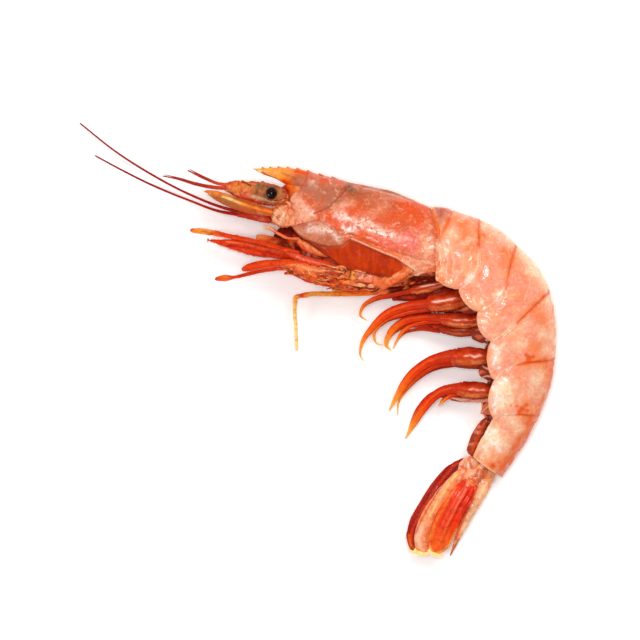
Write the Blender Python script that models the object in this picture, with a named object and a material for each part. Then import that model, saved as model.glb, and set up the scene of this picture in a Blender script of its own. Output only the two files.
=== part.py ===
"""A raw red shrimp, whole, lying on its right side with its left side up.

Metres, +Z up. The origin is under the middle of the animal's outline, on the table. The head points
to -X, and the tail bends round to -Y. Places in plan are read off the photograph, in pixels of its
640-pixel frame, and at() turns them into metres. Heights and thicknesses are in millimetres.
"""

import math

import bmesh
import bpy
import numpy as np

MM = 0.001

# Driving dimensions. The animal is 178 mm along the middle of its body, from the beak's tip to the tail's.
PIXEL = 0.31 * MM
ORIGIN_PIXEL = (317.1, 339.1)
HEAD_MIDDLE = 9.4
SHELL_EDGE = 0.9
JOINT_GAP = 0.38
LIP = 0.32
REST_PRESS = 0.5
THINNEST = 0.2
WELD = 0.01 * MM
# How much closer together a limb's rings are at its ends, from 0 to 1.
END_STEPS = 0.7
# Steps along a route that is only measured or mirrored, and isn't built.
ROUTE_STEPS = 24


def at(x_px, y_px, height=0.0):
    """The point over this pixel of the photograph, height millimetres above the table."""
    return np.array([(x_px - ORIGIN_PIXEL[0]) * PIXEL, (ORIGIN_PIXEL[1] - y_px) * PIXEL, height * MM])


def smooth(knots, count, ends=0.0):
    """Steps along a smooth curve through the knots, closer together at both ends as ends goes from 0 to 1.

    The first two columns, x and y, say how far apart the knots are."""
    knots = np.asarray(knots, float)
    reach = np.concatenate([[0.0], np.cumsum(np.linalg.norm(np.diff(knots[:, :2], axis=0), axis=1))])
    slope = np.gradient(knots, reach, axis=0)
    even = np.linspace(0.0, 1.0, count)
    where = reach[-1] * (even * (1 - ends) + ends * (1 - np.cos(math.pi * even)) / 2)
    low = np.clip(np.searchsorted(reach, where, side="right") - 1, 0, len(reach) - 2)
    step = (reach[low + 1] - reach[low])[:, None]
    u = (where - reach[low])[:, None] / step
    start = (1 + 2 * u) * (1 - u) ** 2 * knots[low] + u * (1 - u) ** 2 * step * slope[low]
    return start + u * u * (3 - 2 * u) * knots[low + 1] - u * u * (1 - u) * step * slope[low + 1]


# ------------------------------------------------ scene, materials and ways of making a piece

for old in list(bpy.data.objects):
    bpy.data.objects.remove(old)

SHRIMP = bpy.data.collections.new("raw_red_shrimp")
bpy.context.scene.collection.children.link(SHRIMP)


def material(name, colour, roughness):
    made = bpy.data.materials.new(name)
    made.use_nodes = True
    shader = made.node_tree.nodes["Principled BSDF"]
    shader.inputs["Base Color"].default_value = (*colour, 1.0)
    shader.inputs["Roughness"].default_value = roughness
    shader.inputs["Metallic"].default_value = 0.0
    return made


TAIL_SHELL = material("tail_shell", (0.84, 0.42, 0.25), 0.35)
HEAD_SHELL = material("head_shell", (0.74, 0.24, 0.12), 0.32)
LIMB = material("limb", (0.66, 0.09, 0.02), 0.35)
FEELER = material("feeler", (0.38, 0.015, 0.01), 0.35)
FAN = material("fan", (0.78, 0.13, 0.03), 0.32)
EYE = material("eye", (0.01, 0.008, 0.008), 0.15)
STALK = material("stalk", (0.66, 0.42, 0.20), 0.40)


def shown(name, mesh, finish):
    """A new object of this mesh, in the shrimp's collection."""
    mesh.materials.clear()
    mesh.materials.append(finish)
    mesh.shade_smooth()
    made = bpy.data.objects.new(name, mesh)
    SHRIMP.objects.link(made)
    return made


def loft(name, rings, finish):
    """A closed skin over rings of points, each with the same number of points in the same order."""
    cage = bmesh.new()
    rows = [[cage.verts.new(point) for point in ring] for ring in rings]
    for near, far in zip(rows, rows[1:]):
        for i, corner in enumerate(near):
            after = (i + 1) % len(near)
            cage.faces.new((corner, near[after], far[after], far[i]))
    cage.faces.new(rows[0][::-1])
    cage.faces.new(rows[-1])
    bmesh.ops.recalc_face_normals(cage, faces=cage.faces)
    mesh = bpy.data.meshes.new(name)
    cage.to_mesh(mesh)
    cage.free()
    return shown(name, mesh, finish)


def limb(name, rows, finish, sides=8, steps=10):
    """A flattened limb. Each row is x and y in pixels, then height, breadth and thickness in mm."""
    along = smooth(rows, steps, END_STEPS)
    middle = np.array([at(*row[:3]) for row in along])
    forward = np.gradient(middle, axis=0)
    forward /= np.linalg.norm(forward, axis=1)[:, None]
    across = np.cross([0.0, 0.0, 1.0], forward)
    across /= np.linalg.norm(across, axis=1)[:, None]
    over = np.cross(forward, across)
    rings = []
    for i, row in enumerate(along):
        breadth, thickness = (max(size, THINNEST) * MM / 2 for size in row[3:5])
        ring = []
        for side in range(sides):
            angle = math.tau * (side + 0.5) / sides
            beside = across[i] * breadth * math.cos(angle)
            ring.append(middle[i] + beside + over[i] * thickness * math.sin(angle))
        rings.append(ring)
    return loft(name, rings, finish)


def tube(name, rows, finish, steps=12, resolution=2):
    """A round, tapering limb as a curve. Each row is x and y in pixels, then height and diameter in mm."""
    route = bpy.data.curves.new(name, "CURVE")
    route.dimensions = "3D"
    route.bevel_depth = MM / 2
    route.bevel_resolution = resolution
    route.use_fill_caps = True
    route.twist_mode = "Z_UP"
    along = smooth(rows, steps, END_STEPS / 2)
    spline = route.splines.new("POLY")
    spline.points.add(len(along) - 1)
    for point, row in zip(spline.points, along):
        point.co = (*at(*row[:3]), 1.0)
        point.radius = row[3]
    route.materials.append(finish)
    made = bpy.data.objects.new(name, route)
    SHRIMP.objects.link(made)
    return made


def as_mesh(curve_object):
    """The curve as a mesh object in the same place, with its caps welded on. The curve is removed."""
    name = curve_object.name
    finish = curve_object.data.materials[0]
    bpy.context.view_layer.update()
    place = curve_object.matrix_world.copy()
    graph = bpy.context.evaluated_depsgraph_get()
    mesh = bpy.data.meshes.new_from_object(curve_object.evaluated_get(graph))
    bpy.data.objects.remove(curve_object)
    cage = bmesh.new()
    cage.from_mesh(mesh)
    bmesh.ops.remove_doubles(cage, verts=cage.verts, dist=WELD)
    bmesh.ops.recalc_face_normals(cage, faces=cage.faces)
    cage.to_mesh(mesh)
    cage.free()
    made = shown(name, mesh, finish)
    made.matrix_world = place
    return made


def fused(name, first, *others):
    """One solid of pieces that overlap, by one Boolean union on a collection, which is then removed."""
    joined = bpy.data.collections.new(name + "_joined")
    bpy.context.scene.collection.children.link(joined)
    for other in others:
        SHRIMP.objects.unlink(other)
        joined.objects.link(other)
    union = first.modifiers.new("join", "BOOLEAN")
    union.operation = "UNION"
    union.solver = "EXACT"
    union.operand_type = "COLLECTION"
    union.collection = joined
    bpy.context.view_layer.update()
    graph = bpy.context.evaluated_depsgraph_get()
    mesh = bpy.data.meshes.new_from_object(first.evaluated_get(graph))
    finish = first.data.materials[0]
    for piece in (first, *others):
        bpy.data.objects.remove(piece)
    bpy.data.collections.remove(joined)
    return shown(name, mesh, finish)


# ------------------------------------------------ the trunk: sections of head shell and tail

# Shares of a section's depth and half width: where it is widest, how far out the side plate ends, and how
# late the flank turns in on its way there.
WIDEST = 0.52
PLATE_SPREAD = 0.78
FLANK_TURN = 1.8
BOW_PEAK = 2 / 3


def half_outline(depth, half_width, belly, back_points, side_points):
    """Half of a section of the trunk, from the middle of the back to that of the belly: (down, out), mm.

    The back is an arch. The side plate hangs past the belly and ends in an edge as thick as the shell."""
    points = []
    for i in range(back_points):
        angle = math.pi / 2 * i / (back_points - 1)
        points.append((depth * WIDEST * (1 - math.cos(angle)), half_width * math.sin(angle)))
    for i in range(1, side_points + 1):
        share = i / side_points
        out = half_width * (1 - (1 - PLATE_SPREAD) * share**FLANK_TURN)
        points.append((depth * (WIDEST + (1 - WIDEST) * share), out))
    inner = half_width * PLATE_SPREAD - SHELL_EDGE
    points.append((depth - SHELL_EDGE / 3, inner))
    points.append((belly + SHELL_EDGE / 2, inner - SHELL_EDGE / 9))
    points.append((belly, inner - SHELL_EDGE))
    points.append((belly + SHELL_EDGE / 2, 0.0))
    return points


def section(back, edge, half_width, roll, height, belly_up, bow=0.0, back_points=6, side_points=4):
    """The ring of a trunk section whose back and left lower edge lie over these pixels.

    roll turns the belly up towards the viewer, in degrees. belly_up is how far the belly lies inside the
    edge. bow is how far the lower flank leans towards the tail, in millimetres."""
    back, edge = at(*back)[:2], at(*edge)[:2]
    down = edge - back
    reach = np.linalg.norm(down) / MM
    down = down / np.linalg.norm(down)
    tailward = np.array([-down[1], down[0], 0.0])
    turn = math.radians(roll)
    depth = (reach + half_width * PLATE_SPREAD * math.sin(turn)) / math.cos(turn)
    down_axis = np.array([*(down * math.cos(turn)), math.sin(turn)])
    out_axis = np.array([*(-down * math.sin(turn)), math.cos(turn)])
    middle = np.array([*(back + down * depth * MM / 2 * math.cos(turn)), height * MM])
    half = half_outline(depth, half_width, depth - belly_up, back_points, side_points)
    ring = []
    for side, outline in ((1, half), (-1, half[-2:0:-1])):
        for downward, out in outline:
            share = downward / depth
            lean = bow * share**2 * (1 - share) / (BOW_PEAK**2 * (1 - BOW_PEAK))
            point = middle + down_axis * (downward - depth / 2) * MM + out_axis * side * out * MM
            ring.append(point + tailward * lean * MM)
    ring = np.array(ring)
    ring[:, 2] = np.maximum(ring[:, 2], 0.0)
    return ring


# ------------------------------------------------ head shell, with the beak and its teeth

# Back and lower edge of the head shell in pixels, and its half width in mm, from the eyes to the tail.
HEAD_SHELL_ROWS = [
    (290.5, 181.5, 289.0, 221.0, 3.4),
    (303.0, 172.0, 298.0, 233.5, 5.6),
    (320.0, 174.8, 312.0, 243.5, 7.4),
    (335.0, 178.5, 328.0, 256.0, 8.6),
    (352.0, 182.8, 346.0, 269.0, 9.4),
    (372.0, 186.8, 368.0, 278.0, 9.8),
    (392.0, 191.6, 388.0, 281.0, 9.9),
    (410.0, 198.2, 408.0, 277.5, 9.9),
    (423.0, 203.6, 424.0, 273.0, 9.8),
    (431.6, 207.8, 436.4, 271.0, 9.5),
]
HEAD_SHELL_STATIONS = 21
BELLY_UP_FRONT, BELLY_UP = 1.6, 5.0
BELLY_EASE = 0.25
LIP_SHARE = 0.07

# The lower flank lies deeper, over the gills, below a ridge that runs back from the cheek.
CHEEK_RIDGE = [(318.0, 252.0), (350.0, 240.0), (378.0, 250.0), (404.0, 266.0), (430.0, 272.0)]
FLANK_DEPTH = 0.9
FLANK_EASE = 2.4
FLANK_FROM = 6.2


def belly_up_at(share):
    return BELLY_UP_FRONT + (BELLY_UP - BELLY_UP_FRONT) * min(1.0, share / BELLY_EASE)


def press_flank(ring):
    """Sinks the points below the cheek ridge towards the middle plane."""
    ridge = smooth(CHEEK_RIDGE, ROUTE_STEPS)
    for point in ring:
        x_px = point[0] / PIXEL + ORIGIN_PIXEL[0]
        y_px = ORIGIN_PIXEL[1] - point[1] / PIXEL
        below = (y_px - np.interp(x_px, ridge[:, 0], ridge[:, 1])) * PIXEL / MM
        out = point[2] / MM - HEAD_MIDDLE
        if abs(out) > FLANK_FROM and ridge[0, 0] < x_px < ridge[-1, 0] and below > 0:
            point[2] -= math.copysign(FLANK_DEPTH * min(1.0, below / FLANK_EASE), out) * MM
    return ring


def build_head_shell():
    """One stiff arch, closed at the front round the roots of eyes and feelers."""
    rings = []
    stations = smooth(HEAD_SHELL_ROWS, HEAD_SHELL_STATIONS)
    for i, (back_x, back_y, edge_x, edge_y, half_width) in enumerate(stations):
        share = i / (len(stations) - 1)
        half_width += LIP * max(0.0, 1 - (1 - share) / LIP_SHARE)
        back, edge = (back_x, back_y), (edge_x, edge_y)
        belly_up = belly_up_at(share)
        ring = section(back, edge, half_width, 0.0, HEAD_MIDDLE, belly_up, back_points=8, side_points=5)
        rings.append(press_flank(ring))
    return loft("head_shell", rings, HEAD_SHELL)


BEAK_TOP = [(253.0, 168.6), (264.0, 168.3), (282.0, 167.6), (300.0, 169.4), (322.0, 175.2), (352.0, 182.4)]
BEAK_UNDER = [
    (253.0, 168.6),
    (262.0, 174.0),
    (275.0, 178.5),
    (287.0, 185.5),
    (298.0, 193.0),
    (316.0, 197.0),
    (346.0, 190.0),
]
BEAK_HALF_THICKNESS = 0.55
TOOTH_COUNT = 9
TOOTH_FIRST = 262.0
TOOTH_PITCH = 7.6
TOOTH_GROWTH = 1.09
TOOTH_HEIGHT = 0.62
TOOTH_FOOT = 0.55
TOOTH_NOTCH = (0.6, 0.4)


def build_beak():
    """A flat blade in the middle plane, with a row of teeth that lean forward along its back."""
    top = smooth(BEAK_TOP, ROUTE_STEPS)
    under = smooth(BEAK_UNDER, ROUTE_STEPS // 2)
    outline = [tuple(top[0])]
    tooth_x = TOOTH_FIRST
    pitch = TOOTH_PITCH
    for _ in range(TOOTH_COUNT):
        foot_x = tooth_x + pitch * TOOTH_FOOT
        tip_y, foot_y = np.interp([tooth_x, foot_x], top[:, 0], top[:, 1])
        outline.append((tooth_x + TOOTH_NOTCH[0], tip_y + TOOTH_NOTCH[1]))
        outline.append((tooth_x, tip_y - TOOTH_HEIGHT * MM / PIXEL))
        outline.append((foot_x, foot_y))
        tooth_x += pitch
        pitch *= TOOTH_GROWTH
    outline.append(tuple(top[-1]))
    outline.extend(tuple(point) for point in under[:0:-1])
    flat = bpy.data.curves.new("beak", "CURVE")
    flat.dimensions = "2D"
    flat.fill_mode = "BOTH"
    flat.extrude = BEAK_HALF_THICKNESS * MM
    spline = flat.splines.new("POLY")
    spline.use_cyclic_u = True
    spline.points.add(len(outline) - 1)
    for point, (x_px, y_px) in zip(spline.points, outline):
        point.co = (*at(x_px, y_px)[:2], 0.0, 1.0)
    flat.materials.append(HEAD_SHELL)
    beak = bpy.data.objects.new("beak", flat)
    beak.location.z = HEAD_MIDDLE * MM
    SHRIMP.objects.link(beak)
    return as_mesh(beak)


fused("carapace", build_head_shell(), build_beak())


# ------------------------------------------------ thorax: what the legs grow from

# Lower edge of the thorax in pixels, from the mouth to the tail, and its half width there in mm.
THORAX_ROWS = [
    (281.0, 262.5, 1.6),
    (290.0, 268.5, 2.2),
    (303.0, 275.5, 2.8),
    (322.0, 282.5, 3.2),
    (343.0, 286.0, 3.6),
    (366.0, 286.0, 3.9),
    (388.0, 284.5, 3.9),
    (408.0, 281.0, 3.8),
    (430.0, 275.0, 3.6),
]
# Its upper edge in front of the shell, over the mouth.
MOUTH_TOP = [(284.0, 236.0), (292.0, 236.5), (303.0, 243.0)]
THORAX_STATIONS = 18
THORAX_SIDES = 14
THORAX_CLEAR = 0.5
THORAX_SQUARE = 0.75


def thorax_top(bottom):
    """Half a millimetre under the head shell's belly, on the line from its lower edge to the back."""
    stations = smooth(HEAD_SHELL_ROWS, HEAD_SHELL_STATIONS)
    nearest = int(np.argmin(np.abs(stations[:, 2] - bottom[0])))
    back, edge = stations[nearest, 0:2], stations[nearest, 2:4]
    belly_up = belly_up_at(nearest / (HEAD_SHELL_STATIONS - 1))
    down = (edge - back) / np.linalg.norm(edge - back)
    return edge - down * (belly_up - SHELL_EDGE / 2 - THORAX_CLEAR) * MM / PIXEL


def build_thorax():
    """Where the legs and mouth parts grow from, hanging out below the head shell."""
    rows = smooth(THORAX_ROWS, THORAX_STATIONS)
    mouth = smooth(MOUTH_TOP, ROUTE_STEPS)
    rings = []
    for bottom_x, bottom_y, wide in rows:
        if bottom_x < mouth[-1, 0]:
            top = np.array([bottom_x, np.interp(bottom_x, mouth[:, 0], mouth[:, 1])])
        else:
            top = thorax_top((bottom_x, bottom_y))
        top, bottom = at(*top), at(bottom_x, bottom_y)
        middle, reach = (top + bottom) / 2, (bottom - top) / 2
        ring = []
        for side in range(THORAX_SIDES):
            angle = math.tau * (side + 0.5) / THORAX_SIDES
            out = math.copysign(abs(math.sin(angle)) ** THORAX_SQUARE, math.sin(angle))
            down = math.copysign(abs(math.cos(angle)) ** THORAX_SQUARE, math.cos(angle))
            point = middle + reach * down
            point[2] = (HEAD_MIDDLE + wide * out) * MM
            ring.append(point)
        rings.append(ring)
    return loft("thorax", rings, LIMB)


build_thorax()


# ------------------------------------------------ tail: six segments, each a shell full of flesh

# Each joint: back and left lower edge in pixels, half width in mm, roll in degrees and bow in mm. The
# first is behind the head shell, the others behind each segment.
TAIL_JOINTS = np.array([
    (432.6, 206.8, 438.5, 281.0, 9.3, 0.0, 0.4),
    (478.0, 219.0, 459.5, 289.0, 9.6, 1.0, 3.2),
    (515.0, 244.0, 478.5, 311.0, 9.4, 3.0, 3.2),
    (549.0, 289.0, 491.5, 341.0, 8.7, 6.0, 0.6),
    (555.2, 357.0, 495.0, 379.0, 7.6, 9.0, -0.8),
    (540.5, 414.0, 494.0, 418.0, 6.2, 13.0, -0.3),
    (502.5, 476.5, 474.5, 456.0, 4.5, 17.0, 0.3),
])
# Segment by segment: how far the plate's edge bulges past its joints and the back humps, in pixels, and
# how far the plate hangs past the belly, in mm.
PLATE_BULGE = (1.5, 4.5, 6.0, 6.0, 5.5, 0.5)
BACK_HUMP = (2.2, 0.4, 0.6, 0.6, 0.6, 0.8)
PLATE_HANG = (2.6, 3.6, 3.8, 3.6, 3.2, 1.6)
FIRST_HUMP_SHARE = 0.62
PLATE_ROUNDNESS = 0.7
SEGMENT_SWELL = 0.25
LIP_REAR, LIP_FRONT = 0.20, 0.14
ROLL_LIFT = 0.12
SEGMENT_STATIONS = 8


def on_joint_curve(points, where):
    """A point of the smooth curve through the joints, at a whole number for each joint."""
    low = min(int(where), len(points) - 2)
    u = where - low
    before, after = points[max(low - 1, 0)], points[min(low + 2, len(points) - 1)]
    start, end = points[low], points[low + 1]
    leave, arrive = (end - before) / 2, (after - start) / 2
    point = (1 + 2 * u) * (1 - u) ** 2 * start + u * (1 - u) ** 2 * leave
    return point + u * u * (3 - 2 * u) * end - u * u * (1 - u) * arrive


def tail_ring(segment, share):
    """The section of one segment of the tail at this share of its length, from its front."""
    front, rear = TAIL_JOINTS[segment], TAIL_JOINTS[segment + 1]
    row = front * (1 - share) + rear * share
    half_width, roll, bow = row[4:7]
    arch = math.sin(math.pi * share) ** PLATE_ROUNDNESS
    chord = rear[2:4] - front[2:4]
    outward = np.array([-chord[1], chord[0]]) / np.linalg.norm(chord)
    edge = row[2:4] + outward * PLATE_BULGE[segment] * arch
    back = on_joint_curve(TAIL_JOINTS[:, 0:2], segment + share)
    up = (back - edge) / np.linalg.norm(back - edge)
    hump_share = min(1.0, share / FIRST_HUMP_SHARE) if segment == 0 else share
    lip = LIP * (max(0.0, 1 - (1 - share) / LIP_REAR) - max(0.0, 1 - share / LIP_FRONT))
    half_width += SEGMENT_SWELL * math.sin(math.pi * share) + lip
    back = back + up * (BACK_HUMP[segment] * math.sin(math.pi * hump_share) + lip * MM / PIXEL)
    turn = math.radians(roll)
    height = half_width * math.cos(turn) * (1 + ROLL_LIFT * math.sin(turn)) - REST_PRESS
    hang = PLATE_HANG[segment] + PLATE_BULGE[segment] * arch * PIXEL / MM
    return section(back, edge, half_width, roll, height, hang, bow)


def build_segment(segment):
    rings = [tail_ring(segment, share) for share in np.linspace(0.0, 1.0, SEGMENT_STATIONS)]
    for ring, inner in ((rings[0], rings[1]), (rings[-1], rings[-2])):
        inward = inner.mean(axis=0) - ring.mean(axis=0)
        inward[2] = 0.0
        ring += inward / np.linalg.norm(inward) * JOINT_GAP / 2 * MM
    return loft(f"abdomen_{segment + 1}", rings, TAIL_SHELL)


for segment in range(len(TAIL_JOINTS) - 1):
    build_segment(segment)


# ------------------------------------------------ tail fan

# Rows: x and y in pixels, then height, breadth and thickness in mm.
TELSON = [
    (490.8, 470.6, 4.3, 3.8, 2.6),
    (481.0, 491.0, 4.3, 3.8, 2.6),
    (470.0, 512.0, 4.2, 3.2, 2.2),
    (460.0, 534.0, 3.9, 2.0, 1.6),
    (450.5, 556.5, 3.4, 0.4, 0.5),
]
LEFT_BASE = [
    (481.2, 464.6, 6.4, 4.2, 2.0),
    (473.0, 470.6, 7.2, 6.4, 2.4),
    (464.0, 481.0, 7.0, 5.4, 1.8),
]
LEFT_OUTER = [
    (466.0, 474.0, 6.8, 3.4, 1.4),
    (450.0, 492.0, 6.8, 6.2, 1.1),
    (438.0, 511.0, 6.2, 7.6, 1.0),
    (428.5, 530.0, 5.5, 7.4, 0.9),
    (424.6, 544.0, 5.0, 5.4, 0.7),
    (423.0, 551.0, 4.8, 1.4, 0.5),
]
LEFT_INNER = [
    (474.0, 482.0, 8.3, 3.0, 1.0),
    (461.0, 498.0, 8.6, 6.0, 0.9),
    (451.0, 514.0, 8.1, 7.4, 0.9),
    (443.0, 531.0, 7.3, 7.2, 0.8),
    (438.0, 546.0, 6.7, 5.0, 0.6),
    (434.8, 553.5, 6.4, 1.4, 0.5),
]
RIGHT_OUTER = [
    (470.0, 459.5, 2.7, 2.6, 1.6),
    (453.0, 474.0, 2.5, 5.2, 1.2),
    (441.0, 491.0, 2.1, 6.2, 1.0),
    (430.0, 509.0, 1.8, 6.6, 0.9),
    (420.5, 526.0, 1.5, 6.6, 0.8),
    (416.5, 543.0, 1.2, 5.2, 0.7),
    (416.0, 551.5, 1.1, 1.4, 0.6),
]
RIGHT_INNER = [
    (476.0, 473.0, 2.2, 2.2, 1.0),
    (462.0, 493.0, 2.2, 4.2, 0.9),
    (452.0, 511.0, 1.9, 5.4, 0.8),
    (444.0, 529.0, 1.6, 5.2, 0.8),
    (438.0, 545.0, 1.4, 2.0, 0.5),
]


def build_tail_fan():
    limb("telson", TELSON, TAIL_SHELL, sides=10, steps=9)
    blade = limb("blade", LEFT_OUTER, FAN, sides=10, steps=11)
    base = limb("base", LEFT_BASE, FAN, sides=8, steps=5)
    fused("uropod_left_outer", blade, base)
    limb("uropod_left_inner", LEFT_INNER, FAN, sides=8, steps=9)
    limb("uropod_right_outer", RIGHT_OUTER, FAN, sides=10, steps=11)
    limb("uropod_right_inner", RIGHT_INNER, FAN, sides=8, steps=9)


build_tail_fan()


# ------------------------------------------------ limbs in pairs

# The right limbs lie under the left ones. Their tips are slimmer by TIP_SLIM of their size, most of it
# late on.
RIGHT_DROP = 0.8
RIGHT_LOWEST = 1.2
TIP_SLIM = 0.6
TIP_SLIM_LATE = 4


def under(rows, middle, keep=0.9, shift=(0.0, 0.0), drop=RIGHT_DROP, root_height=None):
    """The same limb on the right side, which lies under the left one.

    Its root is mirrored in the middle plane, at this height in mm. It keeps this share of the left one's
    length, falls by the share drop of its fall and drifts from it by shift, in pixels, towards its tip.
    root_height, in mm, is where the whole limb starts, if these rows are only a piece of it."""
    route = smooth(rows, ROUTE_STEPS)[: round(ROUTE_STEPS * keep)]
    share = np.linspace(0.0, 1.0, len(route))
    root_height = route[0, 2] if root_height is None else root_height
    route[:, 0] += shift[0] * share
    route[:, 1] += shift[1] * share
    route[:, 2] = np.maximum(2 * middle - root_height - drop * (root_height - route[:, 2]), RIGHT_LOWEST)
    route[:, 3:] *= (1 - TIP_SLIM * share**TIP_SLIM_LATE)[:, None]
    return route


# ------------------------------------------------ head: core, eyes, feelers and their scales

HEAD_CORE = [
    (285.6, 204.0, 9.4, 10.4, 2.8),
    (279.4, 205.0, 9.4, 10.0, 2.8),
    (272.0, 206.0, 9.4, 7.0, 2.6),
]
EYE_PLACE = (271.2, 193.2, 14.3)
EYE_RADIUS = 1.78
STALK_ROWS = [
    (287.0, 195.4, 13.7, 3.6, 1.8),
    (283.0, 194.8, 13.9, 4.2, 2.0),
    (279.0, 194.2, 14.2, 4.2, 2.2),
]
# The stem of the short feelers is hollowed out under the eye.
ANTENNULE_ROWS = [
    (285.0, 197.4, 11.8, 4.4, 1.1),
    (272.0, 194.4, 11.7, 5.6, 1.1),
    (259.0, 192.0, 11.5, 5.6, 1.4),
    (245.0, 190.4, 11.2, 5.4, 2.0),
    (233.0, 187.8, 10.9, 4.4, 1.8),
    (225.0, 186.4, 10.7, 2.4, 1.5),
]
UPPER_FLAGELLUM = [
    (231.0, 185.0, 11.0, 1.5),
    (217.0, 183.4, 10.4, 1.25),
    (206.0, 179.2, 9.8, 1.0),
    (187.5, 170.2, 8.8, 0.5),
]
LOWER_FLAGELLUM = [
    (231.0, 188.6, 10.8, 1.5),
    (212.0, 187.2, 9.8, 1.4),
    (194.0, 183.8, 9.0, 1.1),
    (177.0, 178.8, 8.2, 0.65),
    (162.5, 175.8, 7.6, 0.45),
]
SCALE_ROWS = [
    (271.5, 212.2, 14.2, 2.2, 0.9),
    (258.0, 209.6, 13.9, 3.2, 0.9),
    (241.0, 204.8, 13.1, 3.2, 0.8),
    (224.0, 199.2, 12.2, 2.2, 0.6),
    (208.5, 193.8, 11.4, 0.5, 0.4),
]
# The right scale lies this much nearer the table, under its antenna.
SCALE_LOWER = 0.9
RIGHT_HEAD_SHIFT = (1.5, -1.5)
ANTENNA_BASE = [
    (287.0, 216.0, 13.4, 6.4, 2.4),
    (280.0, 216.8, 13.3, 6.8, 2.6),
    (272.0, 219.0, 12.0, 3.2, 1.8),
    (258.0, 217.4, 11.0, 2.6, 1.7),
    (246.0, 215.2, 10.4, 2.2, 1.6),
    (236.0, 214.4, 10.0, 1.7, 1.4),
]
WHIP_LEFT = [
    (243.0, 215.0, 10.3, 1.5),
    (220.0, 211.4, 9.0, 1.1),
    (190.0, 200.6, 6.8, 0.85),
    (150.0, 184.0, 3.8, 0.7),
    (120.0, 169.0, 1.9, 0.6),
    (93.5, 154.6, 0.9, 0.5),
]
WHIP_RIGHT = [
    (247.0, 213.4, 3.1, 1.4),
    (220.0, 206.4, 3.0, 1.1),
    (190.0, 194.4, 2.6, 0.85),
    (150.0, 173.4, 1.9, 0.7),
    (115.0, 151.0, 1.2, 0.6),
    (78.5, 122.0, 0.7, 0.5),
]


def build_eye(side, height):
    bpy.ops.mesh.primitive_uv_sphere_add(segments=12, ring_count=8, radius=EYE_RADIUS * MM)
    ball = bpy.context.object
    mesh = ball.data
    bpy.data.objects.remove(ball)
    eye = shown(f"eye_{side}", mesh, EYE)
    eye.location = at(EYE_PLACE[0], EYE_PLACE[1], height)


def build_head_limbs(side, placed, whip_rows):
    """One side's eye stalk, antennule, scale and antenna. placed() gives a limb's rows for that side."""
    limb(f"eyestalk_{side}", placed(STALK_ROWS), STALK, sides=8, steps=5)
    antennule = limb("stem", placed(ANTENNULE_ROWS), LIMB, sides=8, steps=9)
    stem_root = ANTENNULE_ROWS[0][2]
    upper_rows = placed(UPPER_FLAGELLUM, root_height=stem_root)
    lower_rows = placed(LOWER_FLAGELLUM, root_height=stem_root)
    upper = as_mesh(tube("upper", upper_rows, FEELER, steps=8, resolution=1))
    lower = as_mesh(tube("lower", lower_rows, FEELER, steps=9, resolution=1))
    fused(f"antennule_{side}", antennule, upper, lower)
    limb(f"antennal_scale_{side}", placed(SCALE_ROWS, SCALE_LOWER), LIMB, sides=8, steps=8)
    base = limb("base", placed(ANTENNA_BASE), LIMB, sides=8, steps=9)
    whip = as_mesh(tube("whip", whip_rows, FEELER, steps=17, resolution=1))
    fused(f"antenna_{side}", base, whip)


def left(rows, lower=0.0, root_height=None):
    """The left limb is where its rows say."""
    return rows


def right_of_head(rows, lower=0.0, root_height=None):
    return under(rows, HEAD_MIDDLE - lower, 1.0, RIGHT_HEAD_SHIFT, root_height=root_height)


limb("head", HEAD_CORE, HEAD_SHELL, sides=10, steps=5)
build_eye("left", EYE_PLACE[2])
build_eye("right", 2 * HEAD_MIDDLE - EYE_PLACE[2])
build_head_limbs("left", left, WHIP_LEFT)
build_head_limbs("right", right_of_head, WHIP_RIGHT)


# ------------------------------------------------ mouth parts

PALP_ROWS = [
    (327.5, 256.6, 14.0, 0.6, 0.5),
    (316.0, 252.6, 14.2, 2.3, 0.9),
    (306.0, 247.4, 14.2, 2.4, 0.9),
    (298.5, 240.8, 13.8, 1.0, 0.6),
]
MAXILLIPED_1_ROWS = [
    (300.0, 239.0, 12.6, 1.0, 0.8),
    (287.0, 238.0, 12.8, 1.5, 0.9),
    (278.0, 233.0, 12.6, 1.1, 0.8),
    (270.5, 228.4, 12.2, 1.1, 0.7),
    (264.5, 229.6, 11.8, 0.5, 0.5),
]
MAXILLIPED_2_ROWS = [
    (293.0, 249.0, 12.9, 1.4, 0.8),
    (284.0, 245.4, 12.4, 2.8, 1.0),
    (272.0, 240.8, 11.2, 2.8, 1.0),
    (262.0, 238.0, 10.4, 2.2, 0.9),
    (256.0, 237.2, 10.0, 1.6, 0.8),
]
MAXILLIPED_3_ROWS = [
    (309.0, 260.0, 13.6, 1.4, 1.0),
    (294.0, 256.8, 13.0, 2.0, 1.3),
    (276.0, 252.8, 11.4, 3.2, 1.6),
    (250.0, 247.4, 9.2, 4.4, 1.6),
    (230.0, 243.8, 8.0, 2.8, 1.3),
    (209.0, 240.2, 7.2, 0.5, 0.5),
]


RIGHT_MOUTH_KEEP = 0.86
RIGHT_MOUTH_SHIFT = (0.0, 1.5)


def right_of_mouth(rows):
    return under(rows, HEAD_MIDDLE, RIGHT_MOUTH_KEEP, RIGHT_MOUTH_SHIFT)


for side, placed in (("left", left), ("right", right_of_mouth)):
    limb(f"mandible_palp_{side}", placed(PALP_ROWS), LIMB, sides=8, steps=6)
    limb(f"maxilliped_1_{side}", placed(MAXILLIPED_1_ROWS), LIMB, sides=6, steps=7)
    limb(f"maxilliped_2_{side}", placed(MAXILLIPED_2_ROWS), LIMB, sides=8, steps=7)
    limb(f"maxilliped_3_{side}", placed(MAXILLIPED_3_ROWS), LIMB, sides=8, steps=10)


# ------------------------------------------------ walking legs

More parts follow.
